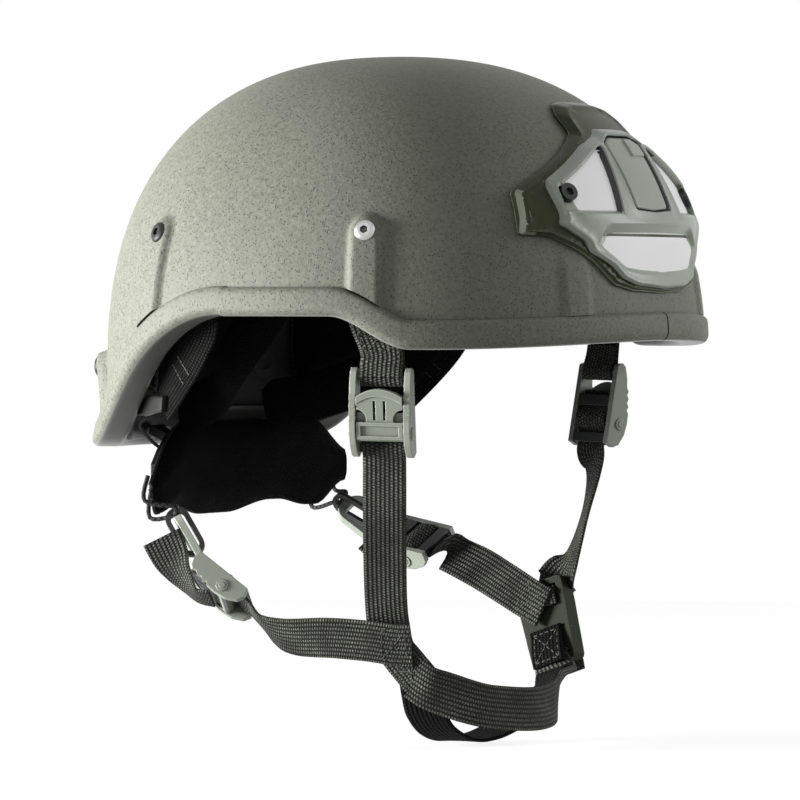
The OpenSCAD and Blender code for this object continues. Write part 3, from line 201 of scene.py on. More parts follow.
# Materials
class Graph:
    """Wires the nodes of a procedural material or of the world."""

    def __init__(self, name, owners=bpy.data.materials):
        self.owner = owners.new(name)
        self.owner.use_nodes = True
        self.tree = self.owner.node_tree
        self.tree.nodes.clear()

    def node(self, kind, settings=(), **inputs):
        n = self.tree.nodes.new("ShaderNode" + kind)
        for key, value in dict(settings).items():
            setattr(n, key, value)
        for key, value in inputs.items():
            if value is not None:
                self.plug(n, key.replace("_", " "), value)
        return n

    def plug(self, n, key, value):
        socket = n.inputs[int(key)] if key.isdigit() else n.inputs[key]
        if isinstance(value, bpy.types.NodeSocket):
            self.tree.links.new(value, socket)
        elif isinstance(value, (tuple, list)) and len(value) == 3 and socket.type == "RGBA":
            socket.default_value = (*value, 1)
        else:
            socket.default_value = value

    def math(self, operation, *values, clamp=False):
        plugs = {str(i): value for i, value in enumerate(values)}
        return self.node("Math", {"operation": operation, "use_clamp": clamp}, **plugs).outputs[0]

    def mul(self, a, b, clamp=False):
        return self.math("MULTIPLY", a, b, clamp=clamp)

    def add(self, a, b):
        return self.math("ADD", a, b)

    def wave(self, x):
        """Rows of bumps from 0 to 1, one for each unit of x."""
        return self.math("ABSOLUTE", self.math("SINE", self.mul(x, math.pi)))

    def lattice(self, pitch):
        """Two waves that cross each other aslant over the piece's UV map."""
        u, v = self.uv()
        slants = self.add(u, v), self.math("SUBTRACT", u, v)
        return [self.math("SINE", self.mul(slant, math.pi / pitch)) for slant in slants]

    def place(self):
        return self.node("TexCoord").outputs["Object"]

    def uv(self):
        parts = self.node("SeparateXYZ", Vector=self.node("TexCoord").outputs["UV"])
        return parts.outputs[0], parts.outputs[1]

    def noise(self, scale, detail=2, rough=0.5):
        n = self.node("TexNoise", Vector=self.place(), Scale=scale, Detail=detail, Roughness=rough)
        return n.outputs["Fac"]

    def between(self, fac, low, high):
        return self.node("MapRange", Value=fac, From_Min=low, From_Max=high).outputs[0]

    def blend(self, fac, a, b):
        return self.node("Mix", {"data_type": "RGBA"}, **{"0": fac, "6": a, "7": b}).outputs[2]

    def bump(self, height, strength, distance, normal=None):
        n = self.node("Bump", Height=height, Strength=strength, Distance=distance, Normal=normal)
        return n.outputs[0]

    def round_edges(self, radius):
        return self.node("Bevel", {"samples": 6}, Radius=radius * MM).outputs[0]

    def dot(self, a, b):
        return self.node("VectorMath", {"operation": "DOT_PRODUCT"}, **{"0": a, "1": b}).outputs["Value"]

    def edge_mask(self, radius):
        """1 on outer and inner edges of a solid, 0 on its flats."""
        turn = self.dot(self.round_edges(radius), self.node("NewGeometry").outputs["Normal"])
        return self.between(self.math("SUBTRACT", 1.0, turn), 0.02, 0.2)

    def grime(self, color, reach=2.5, depth=0.75):
        """Painted shade: darkens a colour where the surface lies close under other surfaces."""
        n = self.node("AmbientOcclusion", {"samples": 5}, Distance=reach * MM)
        closed = self.math("SUBTRACT", 1.0, self.between(n.outputs["AO"], 0.25, 0.85), clamp=True)
        return self.blend(self.mul(closed, depth), color, (0.004, 0.004, 0.003))

    def finish(self, color, rough=0.5, metal=0.0, normal=None, **more):
        shader = self.node("BsdfPrincipled", Base_Color=color, Roughness=rough, Metallic=metal, Normal=normal,
                           **more)
        self.node("OutputMaterial", Surface=shader.outputs[0])
        return self.owner


def paint():
    """Matte paint with fine grain, sparse dark specks and painted shade in its creases."""
    g = Graph("speckled_paint")
    cells = g.node("TexVoronoi", {"feature": "F1"}, Vector=g.place(), Scale=1050.0)
    pick = g.node("SeparateXYZ", Vector=cells.outputs["Color"]).outputs[0]
    dot = g.mul(g.between(pick, 0.72, 0.78), g.between(cells.outputs["Distance"], 0.5, 0.3))
    grain = g.noise(560.0, 3, 0.75)
    broad = g.noise(16.0, 2)
    base = g.blend(g.between(broad, 0.3, 0.7), (0.172, 0.178, 0.142), (0.194, 0.2, 0.161))
    color = g.blend(g.between(grain, 0.4, 0.7), base, (0.28, 0.287, 0.233))
    color = g.blend(g.mul(dot, 0.8), color, (0.05, 0.052, 0.04))
    # painted shade in creases
    color = g.grime(color, 1.6, 0.85)
    normal = g.bump(grain, 0.5, 0.0004, g.bump(dot, 0.25, 0.0002))
    return g.finish(color, g.between(grain, -1.2, 1.6), normal=normal, Specular_IOR_Level=0.35)


def satin(name, color, pale, grain=0.25, rough=0.48, edge=0.9, radius=0.5, glow=0.0, shine=0.4, reach=2.5,
          depth=0.75):
    """Moulded plastic with a painted highlight along its edges, painted shade in its creases and, where glow
    is set, a painted glow.
    """
    g = Graph(name)
    fine = g.noise(1400.0, 2, 0.6)
    broad = g.noise(60.0, 3)
    body = g.blend(g.mul(broad, 0.35), color, tuple(c * 0.82 for c in color))
    # edges blend towards the pale colour as a painted highlight; creases darken as painted shade
    body = g.grime(g.blend(g.mul(g.edge_mask(0.7), edge), body, pale), reach, depth)
    normal = g.bump(fine, grain, 0.0002, g.round_edges(radius))
    # the pale colour also glows by glow, as painted light
    return g.finish(body, g.add(rough - 0.08, g.mul(fine, 0.16)), normal=normal,
                    Emission_Color=pale, Emission_Strength=glow, Specular_IOR_Level=shine)


def metal(name, color, rough, metal=1.0):
    """Lightly scratched metal."""
    g = Graph(name)
    scratch = g.noise(900.0, 4, 0.7)
    tone = g.blend(g.between(scratch, 0.3, 0.7), color, tuple(c * 0.8 for c in color))
    normal = g.bump(scratch, 0.12, 0.0001, g.round_edges(0.25))
    return g.finish(tone, g.add(rough, g.mul(scratch, 0.15)), metal, normal)


def webbing(name, dark, light, rib=1.95, pick=1.25, shine=0.3):
    """Ribs run along the webbing; the weft crosses them in a stepped twill, with painted shade in its grooves
    and creases.
    """
    g = Graph(name)
    u, v = g.uv()
    across = g.math("DIVIDE", u, rib)
    row = g.math("FLOOR", across)
    ribs = g.wave(across)
    step = g.add(g.math("DIVIDE", v, pick), g.mul(row, 0.5))
    lean = g.add(step, g.mul(g.math("FRACT", across), 0.18))
    weft = g.wave(lean)
    height = g.mul(g.math("POWER", ribs, 0.6), g.add(0.45, g.mul(weft, 0.55)))
    fibre = g.noise(1500.0, 3, 0.7)
    wear = g.noise(70.0, 3)
    # weave height sets the colour as painted shade in the grooves; fibre and wear add random tone
    tone = g.add(g.mul(height, 0.8), g.mul(g.math("SUBTRACT", fibre, 0.5), 1.1))
    tone = g.mul(tone, g.add(0.5, g.mul(wear, 0.9)), clamp=True)
    color = g.blend(g.math("POWER", tone, 2.8), dark, light)
    # painted shade in creases
    color = g.grime(color, 3.0, 0.7)
    normal = g.bump(height, 1.0, 0.0009, g.bump(fibre, 0.4, 0.0002))
    return g.finish(color, 0.86, normal=normal, Specular_IOR_Level=shine)


def knit(name, dark, light, pitch):
    """Spacer knit: rows of small eyelets, offset from row to row."""
    g = Graph(name)
    a, b = g.lattice(pitch)
    eye = g.math("POWER", g.math("ABSOLUTE", g.mul(a, b)), 0.8)
    fibre = g.noise(1600.0, 3, 0.7)
    slub = g.noise(90.0, 3)
    tone = g.mul(g.math("SUBTRACT", 1.0, eye), g.add(0.5, fibre))
    tone = g.mul(tone, g.add(0.6, g.mul(slub, 0.8)), clamp=True)
    color = g.blend(g.math("POWER", tone, 1.5), dark, light)
    normal = g.bump(eye, 1.0, -0.0007, g.bump(fibre, 0.3, 0.0002))
    return g.finish(color, 0.9, normal=normal, Specular_IOR_Level=0.05)


def braid(name, dark, light, pitch=1.6):
    """Plaited cord or twisted thread."""
    g = Graph(name)
    a, b = g.lattice(pitch)
    plait = g.math("MAXIMUM", a, b)
    color = g.blend(g.between(plait, -0.2, 1.0), dark, light)
    return g.finish(color, 0.8, normal=g.bump(plait, 0.5, 0.0003), Specular_IOR_Level=0.25)


# Where a cam buckle's cheeks begin, and the top of its cross plates
CHEEK_X, CROSS_TOP = 10.45, 5.2


def buckle(name, aim):
    """Pale cheeks with a painted highlight on their edges; between the cheeks, below the cross plates' top,
    near black painted shade, and painted shade in creases.
    """
    g = Graph(name)
    fine = g.noise(1400.0, 2, 0.6)
    place = g.place()

    def local(axis):
        return g.math("SUBTRACT", g.dot(place, tuple(axis)), float(np.dot(axis, aim.place)) * MM)

    between_cheeks = g.math("LESS_THAN", g.math("ABSOLUTE", local(aim.x)), CHEEK_X * MM)
    # near black between the cheeks below the cross plates' top: painted shade
    inner = g.mul(between_cheeks, g.math("LESS_THAN", local(aim.z), CROSS_TOP * MM))
    # paler edges: painted highlight
    body = g.blend(g.mul(g.edge_mask(0.6), 0.8), (0.4, 0.44, 0.37), (0.7, 0.75, 0.65))
    color = g.grime(g.blend(inner, body, (0.008, 0.011, 0.009)), 3.5, 0.92)
    normal = g.bump(fine, 0.25, 0.0002, g.round_edges(0.6))
    return g.finish(color, g.add(0.4, g.mul(fine, 0.16)), normal=normal)


PAINT = paint()
# Every satin below has painted highlights on its edges and painted shade in its creases
LIP = satin("trim_lip", (0.33, 0.34, 0.31), (0.5, 0.51, 0.48), rough=0.32, edge=0.3, radius=0.6)
LINER = satin("black_lining", (0.018, 0.018, 0.018), (0.03, 0.03, 0.03), rough=0.7, edge=0.2)
STEEL = metal("bright_steel", (0.5, 0.51, 0.5), 0.3)
BLACK_METAL = metal("black_metal", (0.03, 0.03, 0.032), 0.38, 0.6)
RUBBER = satin("black_rubber", (0.015, 0.015, 0.015), (0.04, 0.04, 0.04), rough=0.7, edge=0.3)
# Dark olive with a strong painted highlight along its edges
OLIVE = satin("olive_base", (0.058, 0.067, 0.028), (0.5, 0.57, 0.38), rough=0.3, radius=0.35, edge=1.0,
              shine=0.15)
# Paler olive laid on the side lugs' rim as a painted highlight
LUG_HIGHLIGHT = satin("lug_edge_highlight", (0.34, 0.38, 0.28), (0.6, 0.66, 0.52), rough=0.3, depth=0.2)
PALE = satin("pale_green", (0.5, 0.56, 0.475), (0.86, 0.92, 0.83), rough=0.3, radius=0.3)
# Pale floors of the shroud, with a faint painted glow
FLOORS = satin("shroud_floor", (0.78, 0.785, 0.78), (0.85, 0.85, 0.85), rough=0.5, edge=0.2, glow=0.3)
# Pale lever with a painted highlight on its edges and deep painted shade in its recesses
LEVER = satin("lever_green", (0.36, 0.4, 0.33), (0.86, 0.91, 0.82), grain=0.35, rough=0.35, radius=0.35,
              reach=3.5, depth=0.95)
# Dark plastic of the nape parts, also laid on the shroud as painted shade
DARK_PLASTIC_AND_SHADE = satin("dark_plastic", (0.03, 0.033, 0.03), (0.11, 0.12, 0.11), rough=0.45)
YOKE = satin("yoke_plastic", (0.016, 0.017, 0.014), (0.09, 0.095, 0.08), rough=0.4, edge=0.5, shine=0.25)
CHIN_PLASTIC = satin("olive_plastic", (0.022, 0.026, 0.014), (0.15, 0.17, 0.115), rough=0.6, shine=0.12)
WEBBING = webbing("green_webbing", (0.001, 0.0012, 0.001), (0.38, 0.405, 0.32))
BLACK_WEB = webbing("black_webbing", (0.001, 0.001, 0.001), (0.04, 0.042, 0.038), shine=0.1)
KNIT = knit("black_knit", (0.0005, 0.0005, 0.0005), (0.032, 0.033, 0.032), 1.25)
BINDING = braid("black_binding", (0.004, 0.004, 0.004), (0.04, 0.042, 0.04), 1.2)
CORD = braid("black_cord", (0.006, 0.006, 0.006), (0.07, 0.07, 0.07))
THREAD = braid("olive_thread", (0.05, 0.055, 0.04), (0.15, 0.165, 0.13), 0.8)


# Mesh building
def make(name, points, faces, materials, body, replaces=(), uv=None, which=None, sharp=40):
    """New piece from points, with a uv pair for each point and in which a material number for each face."""
    mesh = bpy.data.meshes.new(name)
    mesh.from_pydata((np.asarray(points, float) * MM).tolist(), [], faces)
    for m in materials if isinstance(materials, (list, tuple)) else [materials]:
        mesh.materials.append(m)
    if which is not None:
        mesh.polygons.foreach_set("material_index", np.asarray(which, dtype=np.int32))
    mesh.polygons.foreach_set("use_smooth", np.ones(len(mesh.polygons), dtype=bool))
    if uv is not None:
        corner = np.zeros(len(mesh.loops), dtype=np.int32)
        mesh.loops.foreach_get("vertex_index", corner)
        mesh.uv_layers.new(name="UVMap").data.foreach_set("uv", np.asarray(uv, float)[corner].ravel())
    mesh.update()
    mesh.set_sharp_from_angle(angle=math.radians(sharp))
    piece = bpy.data.objects.new(name, mesh)
    scene.collection.objects.link(piece)
    if body:
        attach(piece, body)
    if replaces:
        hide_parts(*replaces)
    return piece


def ring_faces(rows, cols, closed=False):
    """Faces of a stack of closed rings, with end caps unless the stack closes on itself."""
    faces = []
    for i in range(rows if closed else rows - 1):
        a, b = i * cols, ((i + 1) % rows) * cols
        for j in range(cols):
            k = (j + 1) % cols
            faces.append((a + j, a + k, b + k, b + j))
    if not closed:
        faces.append(tuple(range(cols - 1, -1, -1)))
        faces.append(tuple((rows - 1) * cols + j for j in range(cols)))
    return faces


def spline(points, steps):
    """The part's own smooth curve through given points."""
    p = np.asarray(points, float)
    n = len(p) - 1
    out = []
    for i in range(n):
        a, b, c, d = p[max(0, i - 1)], p[i], p[i + 1], p[min(n, i + 2)]
        for k in range(steps):
            t = k / steps
            out.append(b + (c - a) * t / 2 + (2 * a - 5 * b + 4 * c - d) * t * t / 2
                       + (3 * b - a - 3 * c + d) * t ** 3 / 2)
    return np.array(out + [p[n]])


class Route:
    """A strap's middle line with its width and face directions."""

    def __init__(self, stations, steps):
        self.middle = spline([s[0] for s in stations], steps)
        across = spline([s[1] for s in stations], steps)
        ahead = np.roll(self.middle, -1, 0)
        back = np.roll(self.middle, 1, 0)
        ahead[-1], back[0] = self.middle[-1], self.middle[0]
        along = unit(ahead - back)
        self.out = unit(np.cross(along, across))
        self.side = np.cross(self.out, along)
        steps_l = np.linalg.norm(np.diff(self.middle, axis=0), axis=1)
        self.far = np.concatenate([[0], np.cumsum(steps_l)])

    def at(self, u, v, lift):
        """Point u across and v along the route, lift away from its middle."""
        mid, side, out = ([np.interp(v, self.far, part[:, k]) for k in range(3)]
                          for part in (self.middle, self.side, self.out))
        return np.array(mid) + np.array(side) * u + np.array(out) * lift


def web_section(w, t):
    """Half-round edges and flat faces, as (across, lift)."""
    r = t / 2
    flat = np.linspace(-w / 2 + r, w / 2 - r, 9)
    turn = np.radians([60, 30, 0, -30, -60])
    right = [(w / 2 - r + r * math.cos(q), r * math.sin(q)) for q in turn]
    left = [(-x, -y) for x, y in right]
    return [(x, r) for x in flat] + right + [(x, -r) for x in flat[::-1]] + left


def strap(name, stations, body="helmet", node=None, w=WEB_W, t=WEB_T, material=WEBBING):
    """Webbing along given stations, each a point and its width direction."""
    route = Route(stations, 10)
    section = web_section(w, t)
    points, uv = [], []
    for i in range(len(route.middle)):
        for x, lift in section:
            points.append(route.middle[i] + route.side[i] * x + route.out[i] * lift)
            uv.append((x, route.far[i]))
    faces = ring_faces(len(route.middle), len(section))
    piece = make(name, points, faces, material, body, [node] if node else (), uv, sharp=50)
    return piece, route


def tube(name, points, d, body, node=None, material=CORD, sides=12, steps=6, closed=False):
    """Round cord or binding along given points."""
    route = spline(points, steps) if steps > 1 else np.asarray(points, float)
    n = len(route)
    rings, uv, far = [], [], 0.0
    ref = None
    for i in range(n):
        if closed:
            along = unit(route[(i + 1) % n] - route[i - 1])
        else:
            along = unit(route[min(n - 1, i + 1)] - route[max(0, i - 1)])
        if ref is None:
            ref = np.cross(along, (0, 0, 1) if abs(along[2]) < 0.9 else (1, 0, 0))
        ref = unit(ref - along * np.dot(ref, along))
        other = np.cross(along, ref)
        if i:
            far += np.linalg.norm(route[i] - route[i - 1])
        for j in range(sides):
            q = 2 * math.pi * j / sides
            rings.append(route[i] + (ref * math.cos(q) + other * math.sin(q)) * d / 2)
            uv.append((j * math.pi * d / sides, far))
    return make(name, rings, ring_faces(n, sides, closed), material, body, [node] if node else (), uv)


# A stitch seen from above and in height, as (along, aside, up), and its faces
STITCH = [
    (-0.5, 0, -0.1), (-0.3, -0.5, 0), (0.3, -0.5, 0), (0.5, 0, -0.1), (0.3, 0.5, 0), (-0.3, 0.5, 0),
    (-0.22, 0, 0.32), (0.22, 0, 0.32)]
STITCH_FACES = [(0, 1, 6), (1, 2, 7, 6), (2, 3, 7), (3, 4, 7), (4, 5, 6, 7), (5, 0, 6)]
STITCH_L, STITCH_W = 2.3, 0.62


def stitches(name, route, lines, body, lift, gap=0.9):
    """Rows of thread laid on a strap; each line is (u0, v0, u1, v1) on its face."""
    points, faces = [], []
    for u0, v0, u1, v1 in lines:
        span = math.hypot(u1 - u0, v1 - v0)
        du, dv = (u1 - u0) / span, (v1 - v0) / span
        for k in range(max(1, int((span + gap) / (STITCH_L + gap)))):
            s = k * (STITCH_L + gap) + STITCH_L / 2
            faces += [tuple(len(points) + i for i in f) for f in STITCH_FACES]
            for along, side, up in STITCH:
                u = u0 + du * (s + along * STITCH_L) - dv * side * STITCH_W
                v = v0 + dv * (s + along * STITCH_L) + du * side * STITCH_W
                points.append(route.at(u, v, lift + math.copysign(up, lift)))
    make(name, points, faces, THREAD, body, (), [(p[0], p[2]) for p in points], sharp=80)


FACE = WEB_T / 2 + 0.05


def stitch_both(name, route, lines, **more):
    for lift, face in ((FACE, "_out"), (-FACE, "_in")):
        stitches(name + face, route, lines, "helmet", lift, **more)


def box_stitch(v0, v1, half=7.2):
    """A box with a cross, between two places along the webbing."""
    return [(-half, v0, half, v0), (-half, v1, half, v1), (-half, v0, -half, v1), (half, v0, half, v1),
            (-half, v0, half, v1), (half, v0, -half, v1)]


# Camera, stage and light
FOCUS = Vector((0, 0, -26)) * MM
AZIMUTH, ELEVATION, DISTANCE = math.radians(32.9), math.radians(1.24), 2.0
back = Vector((math.sin(AZIMUTH) * math.cos(ELEVATION), -math.cos(AZIMUTH) * math.cos(ELEVATION),
               math.sin(ELEVATION)))
camera = bpy.data.objects.new("camera", bpy.data.cameras.new("camera"))
scene.collection.objects.link(camera)
camera.location = FOCUS + back * DISTANCE
camera.rotation_euler = back.to_track_quat("Z", "Y").to_euler()
camera.data.sensor_width = 36
camera.data.lens = 202.5
camera.data.shift_x = 1.6 / 800
camera.data.shift_y = -2 / 800
scene.camera = camera


def lamp(name, place, size, power):
    data = bpy.data.lights.new(name, "AREA")
    data.shape = "DISK"
    data.size = size
    data.energy = power
    thing = bpy.data.objects.new(name, data)
    scene.collection.objects.link(thing)
    thing.location = place
    thing.rotation_euler = (place - FOCUS).to_track_quat("Z", "Y").to_euler()


right = Vector((math.cos(AZIMUTH), math.sin(AZIMUTH), 0))
up = Vector((0, 0, 1))
lamp("key", FOCUS + back * 0.12 - right * 1.68, 0.7, 67)
lamp("front_soft", FOCUS + back * 1.7 - right * 0.25 + up * 0.7, 0.8, 3.2)
lamp("fill", FOCUS - back * 0.1 + right * 1.6 + up * 0.55, 0.8, 9)

g = Graph("pale_room", bpy.data.worlds)
scene.world = g.owner
rays = g.node("LightPath").outputs
seen = g.math("MAXIMUM", rays["Is Camera Ray"], rays["Is Glossy Ray"])
seen = g.math("MAXIMUM", seen, rays["Is Transmission Ray"])
plain = g.node("Background", Color=(0.97, 0.98, 1), Strength=0.07)
white = g.node("Background", Color=(1, 1, 1), Strength=1)
join = g.node("MixShader", **{"0": seen, "1": plain.outputs[0], "2": white.outputs[0]})
g.node("OutputWorld", Surface=join.outputs[0])
scene.view_settings.view_transform = "Standard"

g = Graph("pale_floor")
rays = g.node("LightPath").outputs
direct = g.math("MAXIMUM", rays["Is Camera Ray"], rays["Is Glossy Ray"])
matte = g.node("BsdfDiffuse", Color=(0.42, 0.42, 0.42))
glow = g.node("Emission", Color=(1, 1, 1), Strength=g.mul(direct, 0.86))
both = g.node("AddShader", **{"0": matte.outputs[0], "1": glow.outputs[0]})
g.node("OutputMaterial", Surface=both.outputs[0])
FLOOR_Z, FLOOR_R, FLOOR_SIDES = CAD_BOX[0][2] / MM - 1.5, 900, 96
turns = [2 * math.pi * k / FLOOR_SIDES for k in range(FLOOR_SIDES)]
floor = make("floor", [(FLOOR_R * math.cos(q), FLOOR_R * math.sin(q), FLOOR_Z) for q in turns],
             [tuple(range(FLOOR_SIDES))], g.owner, None)


# Shell and edge trim
def build_shell():
    """Painted face from the trim to the crown, and the dark face inside."""
    cols = 640
    a = np.arange(cols) * 360 / cols
    seat = rim(a) + 4.2
    top = rim(a) + TRIM_H * np.hypot(1, rim_slope(a)) + 0.1
    rows = [skin(a, seat, 0), skin(a, top - 0.1, 0), skin(a, top, rib_at(a, top))]
    for f in np.linspace(0, 1, 37)[1:]:
        z = mix(top, 30.0, f)
        rows.append(skin(a, z, rib_at(a, z)))
    for q in np.concatenate([np.linspace(18.2, 34, 30), np.linspace(35, 88.8, 56)]):
        z = np.full(cols, high_z(q))
        if z[0] > 30.4:
            rows.append(skin(a, z, rib_at(a, z)))
    outer = len(rows)
    for q in np.linspace(88.5, 24, 34):
        rows.append(skin(a, np.full(cols, high_z(q, -SHELL_T)), -SHELL_T))
    for f in np.linspace(1, 0, 14):
        rows.append(skin(a, mix(seat, 28.0, f), -SHELL_T))
    points = np.concatenate(rows)
    faces, which = [], []
    count = len(rows)
    for i in range(count):
        if i == outer - 1:
            continue
        a, b = i * cols, (i + 1) % count * cols
        for j in range(cols):
            k = (j + 1) % cols
            faces.append((a + j, a + k, b + k, b + j))
            which.append(0 if i < outer else 1)
    pole = len(points)
    points = np.concatenate([points, [[0, 0, CROWN_Z]], [[0, 0, CROWN_Z - SHELL_T]]])
    for j in range(cols):
        k = (j + 1) % cols
        faces.append(((outer - 1) * cols + j, (outer - 1) * cols + k, pole))
        faces.append((outer * cols + k, outer * cols + j, pole + 1))
        which += [0, 1]
    make("helmet_shell", points, faces, [PAINT, LINER], "helmet", ["shell"], None, which, 50)


def soften(outline, cut, passes):
    """Rounds an outline's corners by cutting them."""
    p = [np.array(q, float) for q in outline]
    for _ in range(passes):
        q = []
        for i, here in enumerate(p):
            nxt = p[(i + 1) % len(p)]
            c = min(cut, 0.9 / max(0.9, np.linalg.norm(nxt - here)))
            q += [mix(here, nxt, c), mix(here, nxt, 1 - c)]
        p = q
    return p


def worn(loop):
    return soften(loop, 0.12, 1)


TRIM = [
    (0.6, TRIM_H), (1.2, TRIM_H), (TRIM_T + 0.4, TRIM_H - 1.4), (TRIM_T + 0.4, 3), (1.4, 0.6), (-0.5, 0),
    (-SHELL_T - 1.4, 0), (-SHELL_T - LIP_T, 1.6), (-SHELL_T - LIP_T, 8.4), (-SHELL_T - 0.9, 8.4),
    (-SHELL_T - 0.9, 2.3), (0.6, 2.3)]


def build_trim():
    """The trim's section carried round the rim, square to its slope and open at the front seam."""
    section = soften(TRIM, 0.25, 2)
    first = math.degrees(SEAM_W / 2 / FRONT_LEN)
    angles = np.linspace(first, 360 - first, 560)
    slope = rim_slope(angles)
    k = 1 / np.sqrt(1 + slope * slope)
    points = []
    for a, m, s in zip(angles, slope, k):
        for x, y in section:
            turn = math.degrees(m * s * y / plan_r(a))
            points.append(skin(a - turn, rim(a) + s * y, x))
    faces = ring_faces(len(angles), len(section))
    lip = [p[0] < 0.9 or p[1] < 0.7 for p in section]
    # the two end faces at the seam take the black lining as painted shade in the seam's slit
    which = [1 if lip[j] and lip[(j + 1) % len(section)] and section[j][1] < TRIM_H - 1 else 0
             for _ in range(len(angles) - 1) for j in range(len(section))] + [2, 2]
    mats = [PAINT, LIP, LINER]
    make("trim_band", points, faces, mats, "helmet", ["edge_trim"], None, which, 45)


# Shroud
def full(half):
    return list(half) + [(-s, z) for s, z in half[::-1] if s > 0]


# Outlines as (side, height) on the front of the shell
BASE = full([
    (0, 103), (9, 103), (16.5, 101.5), (21.5, 96.5), (23, 89), (30, 84.5), (38, 79.5), (55.5, 70), (68, 63),
    (71.8, 45), (61, 44.5), (50, 39), (42.7, 34), (37.5, 28.5), (32.7, 24), (21.5, 21.5), (0, 20.6)])
INSERT = full([
    (0, 91), (11, 90.8), (16, 87.5), (28.5, 83), (55, 68.2), (56.8, 65), (55.7, 53.6), (57.2, 49.2),
    (46.3, 42), (44.3, 37.5), (34.5, 32), (29.3, 26.6), (20.8, 23.8), (0, 22.3)])
WINDOW = [(18.3, 83.3), (21.5, 82.8), (50.5, 67), (47.5, 54.5), (24.6, 54.5)]
TRAY = full([(0, 51.5), (34, 50.8), (37.5, 47.5), (42, 40.5), (33, 33.5), (28, 29.5), (18, 28), (0, 27.2)])
TRAY_FLOOR = full([
    (0, 46.3), (31, 46), (34.6, 44), (38.4, 40.2), (31.6, 35.2), (26.6, 31.4), (17.2, 30.2), (0, 29.4)])
PLATE = full([(0, 88), (9, 88), (15.5, 85), (15, 56), (0, 55)])
TAB = [(1, 79.5), (12, 79.5), (12, 87), (1, 87)]
# The lugs' painted highlight lies beyond LUG_SIDE to each side, LUG_RIM wide
LUG_SIDE, LUG_RIM = 66, 1.0
EDGE_STEP, LEVEL_STEP, GRID_STEP = 1.1, 0.9, 2.2


def thick(z):
    return np.clip((z - 38) / 13, 0, 1)


def base_top(z):
    return mix(APRON_D - 2.2, UPPER_D, thick(z))


def face_top(z):
    return mix(APRON_D, UPPER_D + INSERT_T, thick(z))


def tray_top(z):
    return mix(APRON_D - 1.2, UPPER_D + INSERT_T + 0.4, np.clip((z - 45.5) / 5.5, 0, 1))


def front_point(s, z, d):
    """Points of the helmet's front at side s and height z, d outside the shell."""
    k = dome_k(z, d) ** PLAN_N - (np.abs(s) / (HALF_W + d)) ** PLAN_N
    return np.stack([(FRONT_LEN + d) * np.maximum(k, 1e-6) ** (1 / PLAN_N), s, z], -1)


def inside(points, loop):
    """Distance of points from a closed outline, positive inside it."""
    a = np.asarray(loop, float)
    ab = np.roll(a, -1, 0) - a
    off = points[:, None] - a
    t = np.clip((off * ab).sum(-1) / (ab * ab).sum(-1), 0, 1)
    far = np.linalg.norm(off - ab * t[..., None], axis=-1).min(1)
    crosses = (off[..., 1] < 0) != (off[..., 1] < ab[:, 1])
    at = off[..., 1] / np.where(ab[:, 1] == 0, 1e-9, ab[:, 1]) * ab[:, 0]
    return np.where((crosses & (off[..., 0] < at)).sum(1) % 2 == 1, far, -far)


def even(loop, step):
    """The closed outline with a point about every step."""
    out = []
    for i, here in enumerate(loop):
        nxt = np.asarray(loop[(i + 1) % len(loop)], float)
        count = max(1, round(float(np.linalg.norm(nxt - here)) / step))
        out += [mix(np.asarray(here, float), nxt, k / count) for k in range(count)]
    return out


def inset(loop, by):
    p = np.asarray(loop, float)
    along = unit(np.roll(p, -1, 0) - np.roll(p, 1, 0))
    area = (p[:, 0] * np.roll(p[:, 1], -1) - p[:, 1] * np.roll(p[:, 0], -1)).sum()
    return p + np.stack([-along[:, 1], along[:, 0]], -1) * by * math.copysign(1, area)


def relief(name, outline, steps, top, bottom, materials, choose, node):
    """Solid on the front of the shell: steps are the inner outlines where its face changes level."""
    edge = even(worn(outline), EDGE_STEP)
    loose = [q for by in (0.3, 0.6, 1.0, 1.5, 2.1) for q in inset(edge, by)]
    for loop in steps:
        loop = even(worn(loop), LEVEL_STEP)
        loose += [q for by in (-0.5, 0, 0.35, 0.8, 1.3, 1.9, 2.5) for q in inset(loop, by)]
    p = np.asarray(outline, float)
    side, height = np.meshgrid(*(np.arange(p[:, k].min(), p[:, k].max(), GRID_STEP) for k in (0, 1)))
    loose += list(np.stack([side.ravel(), height.ravel()], -1))
    loose = np.array(loose)
    loose = loose[inside(loose, edge) > 0.15]
    flat = [Vector(q) for q in (*edge, *loose)]
    loops = [(i, (i + 1) % len(edge)) for i in range(len(edge))]
    verts, _, tris, *_ = delaunay_2d_cdt(flat, loops, [], 1, 1e-4)
    flat = np.array([tuple(v) for v in verts])
    n = len(flat)
    points = np.concatenate([front_point(*flat.T, top(flat, edge)), front_point(*flat.T, bottom(flat))])
    middle = flat[np.array(tris)].mean(1)
    which = list(choose(middle)) + [0] * len(tris)
    faces = [tuple(t[::-1]) for t in tris] + [tuple(i + n for i in t) for t in tris]
    sides = dict.fromkeys(pair for t in tris for pair in zip(t, t[1:] + t[:1]))
    for a, b in sides:
        if (b, a) not in sides:
            faces.append((a, b, b + n, a + n))
            which.append(0)
    make(name, points, faces, materials, "helmet", [node], None, which, sharp=32)


SCREW_AT = skin(23, 60, UPPER_D)[1:]
WINDOWS = [WINDOW, [(-s, z) for s, z in WINDOW]]
SCREW_BOX = ((-5.5, -5.5), (5.5, -5.5), (5.5, 5.5), (-5.5, 5.5))
SCREW_BOXES = [[(h * SCREW_AT[0] + x, SCREW_AT[1] + y) for x, y in SCREW_BOX] for h in (1, -1)]


def drop(p, loop, wall):
    """0 outside an outline, 1 on the floor inside it."""
    return ramp(0, wall, inside(p, worn(loop)))


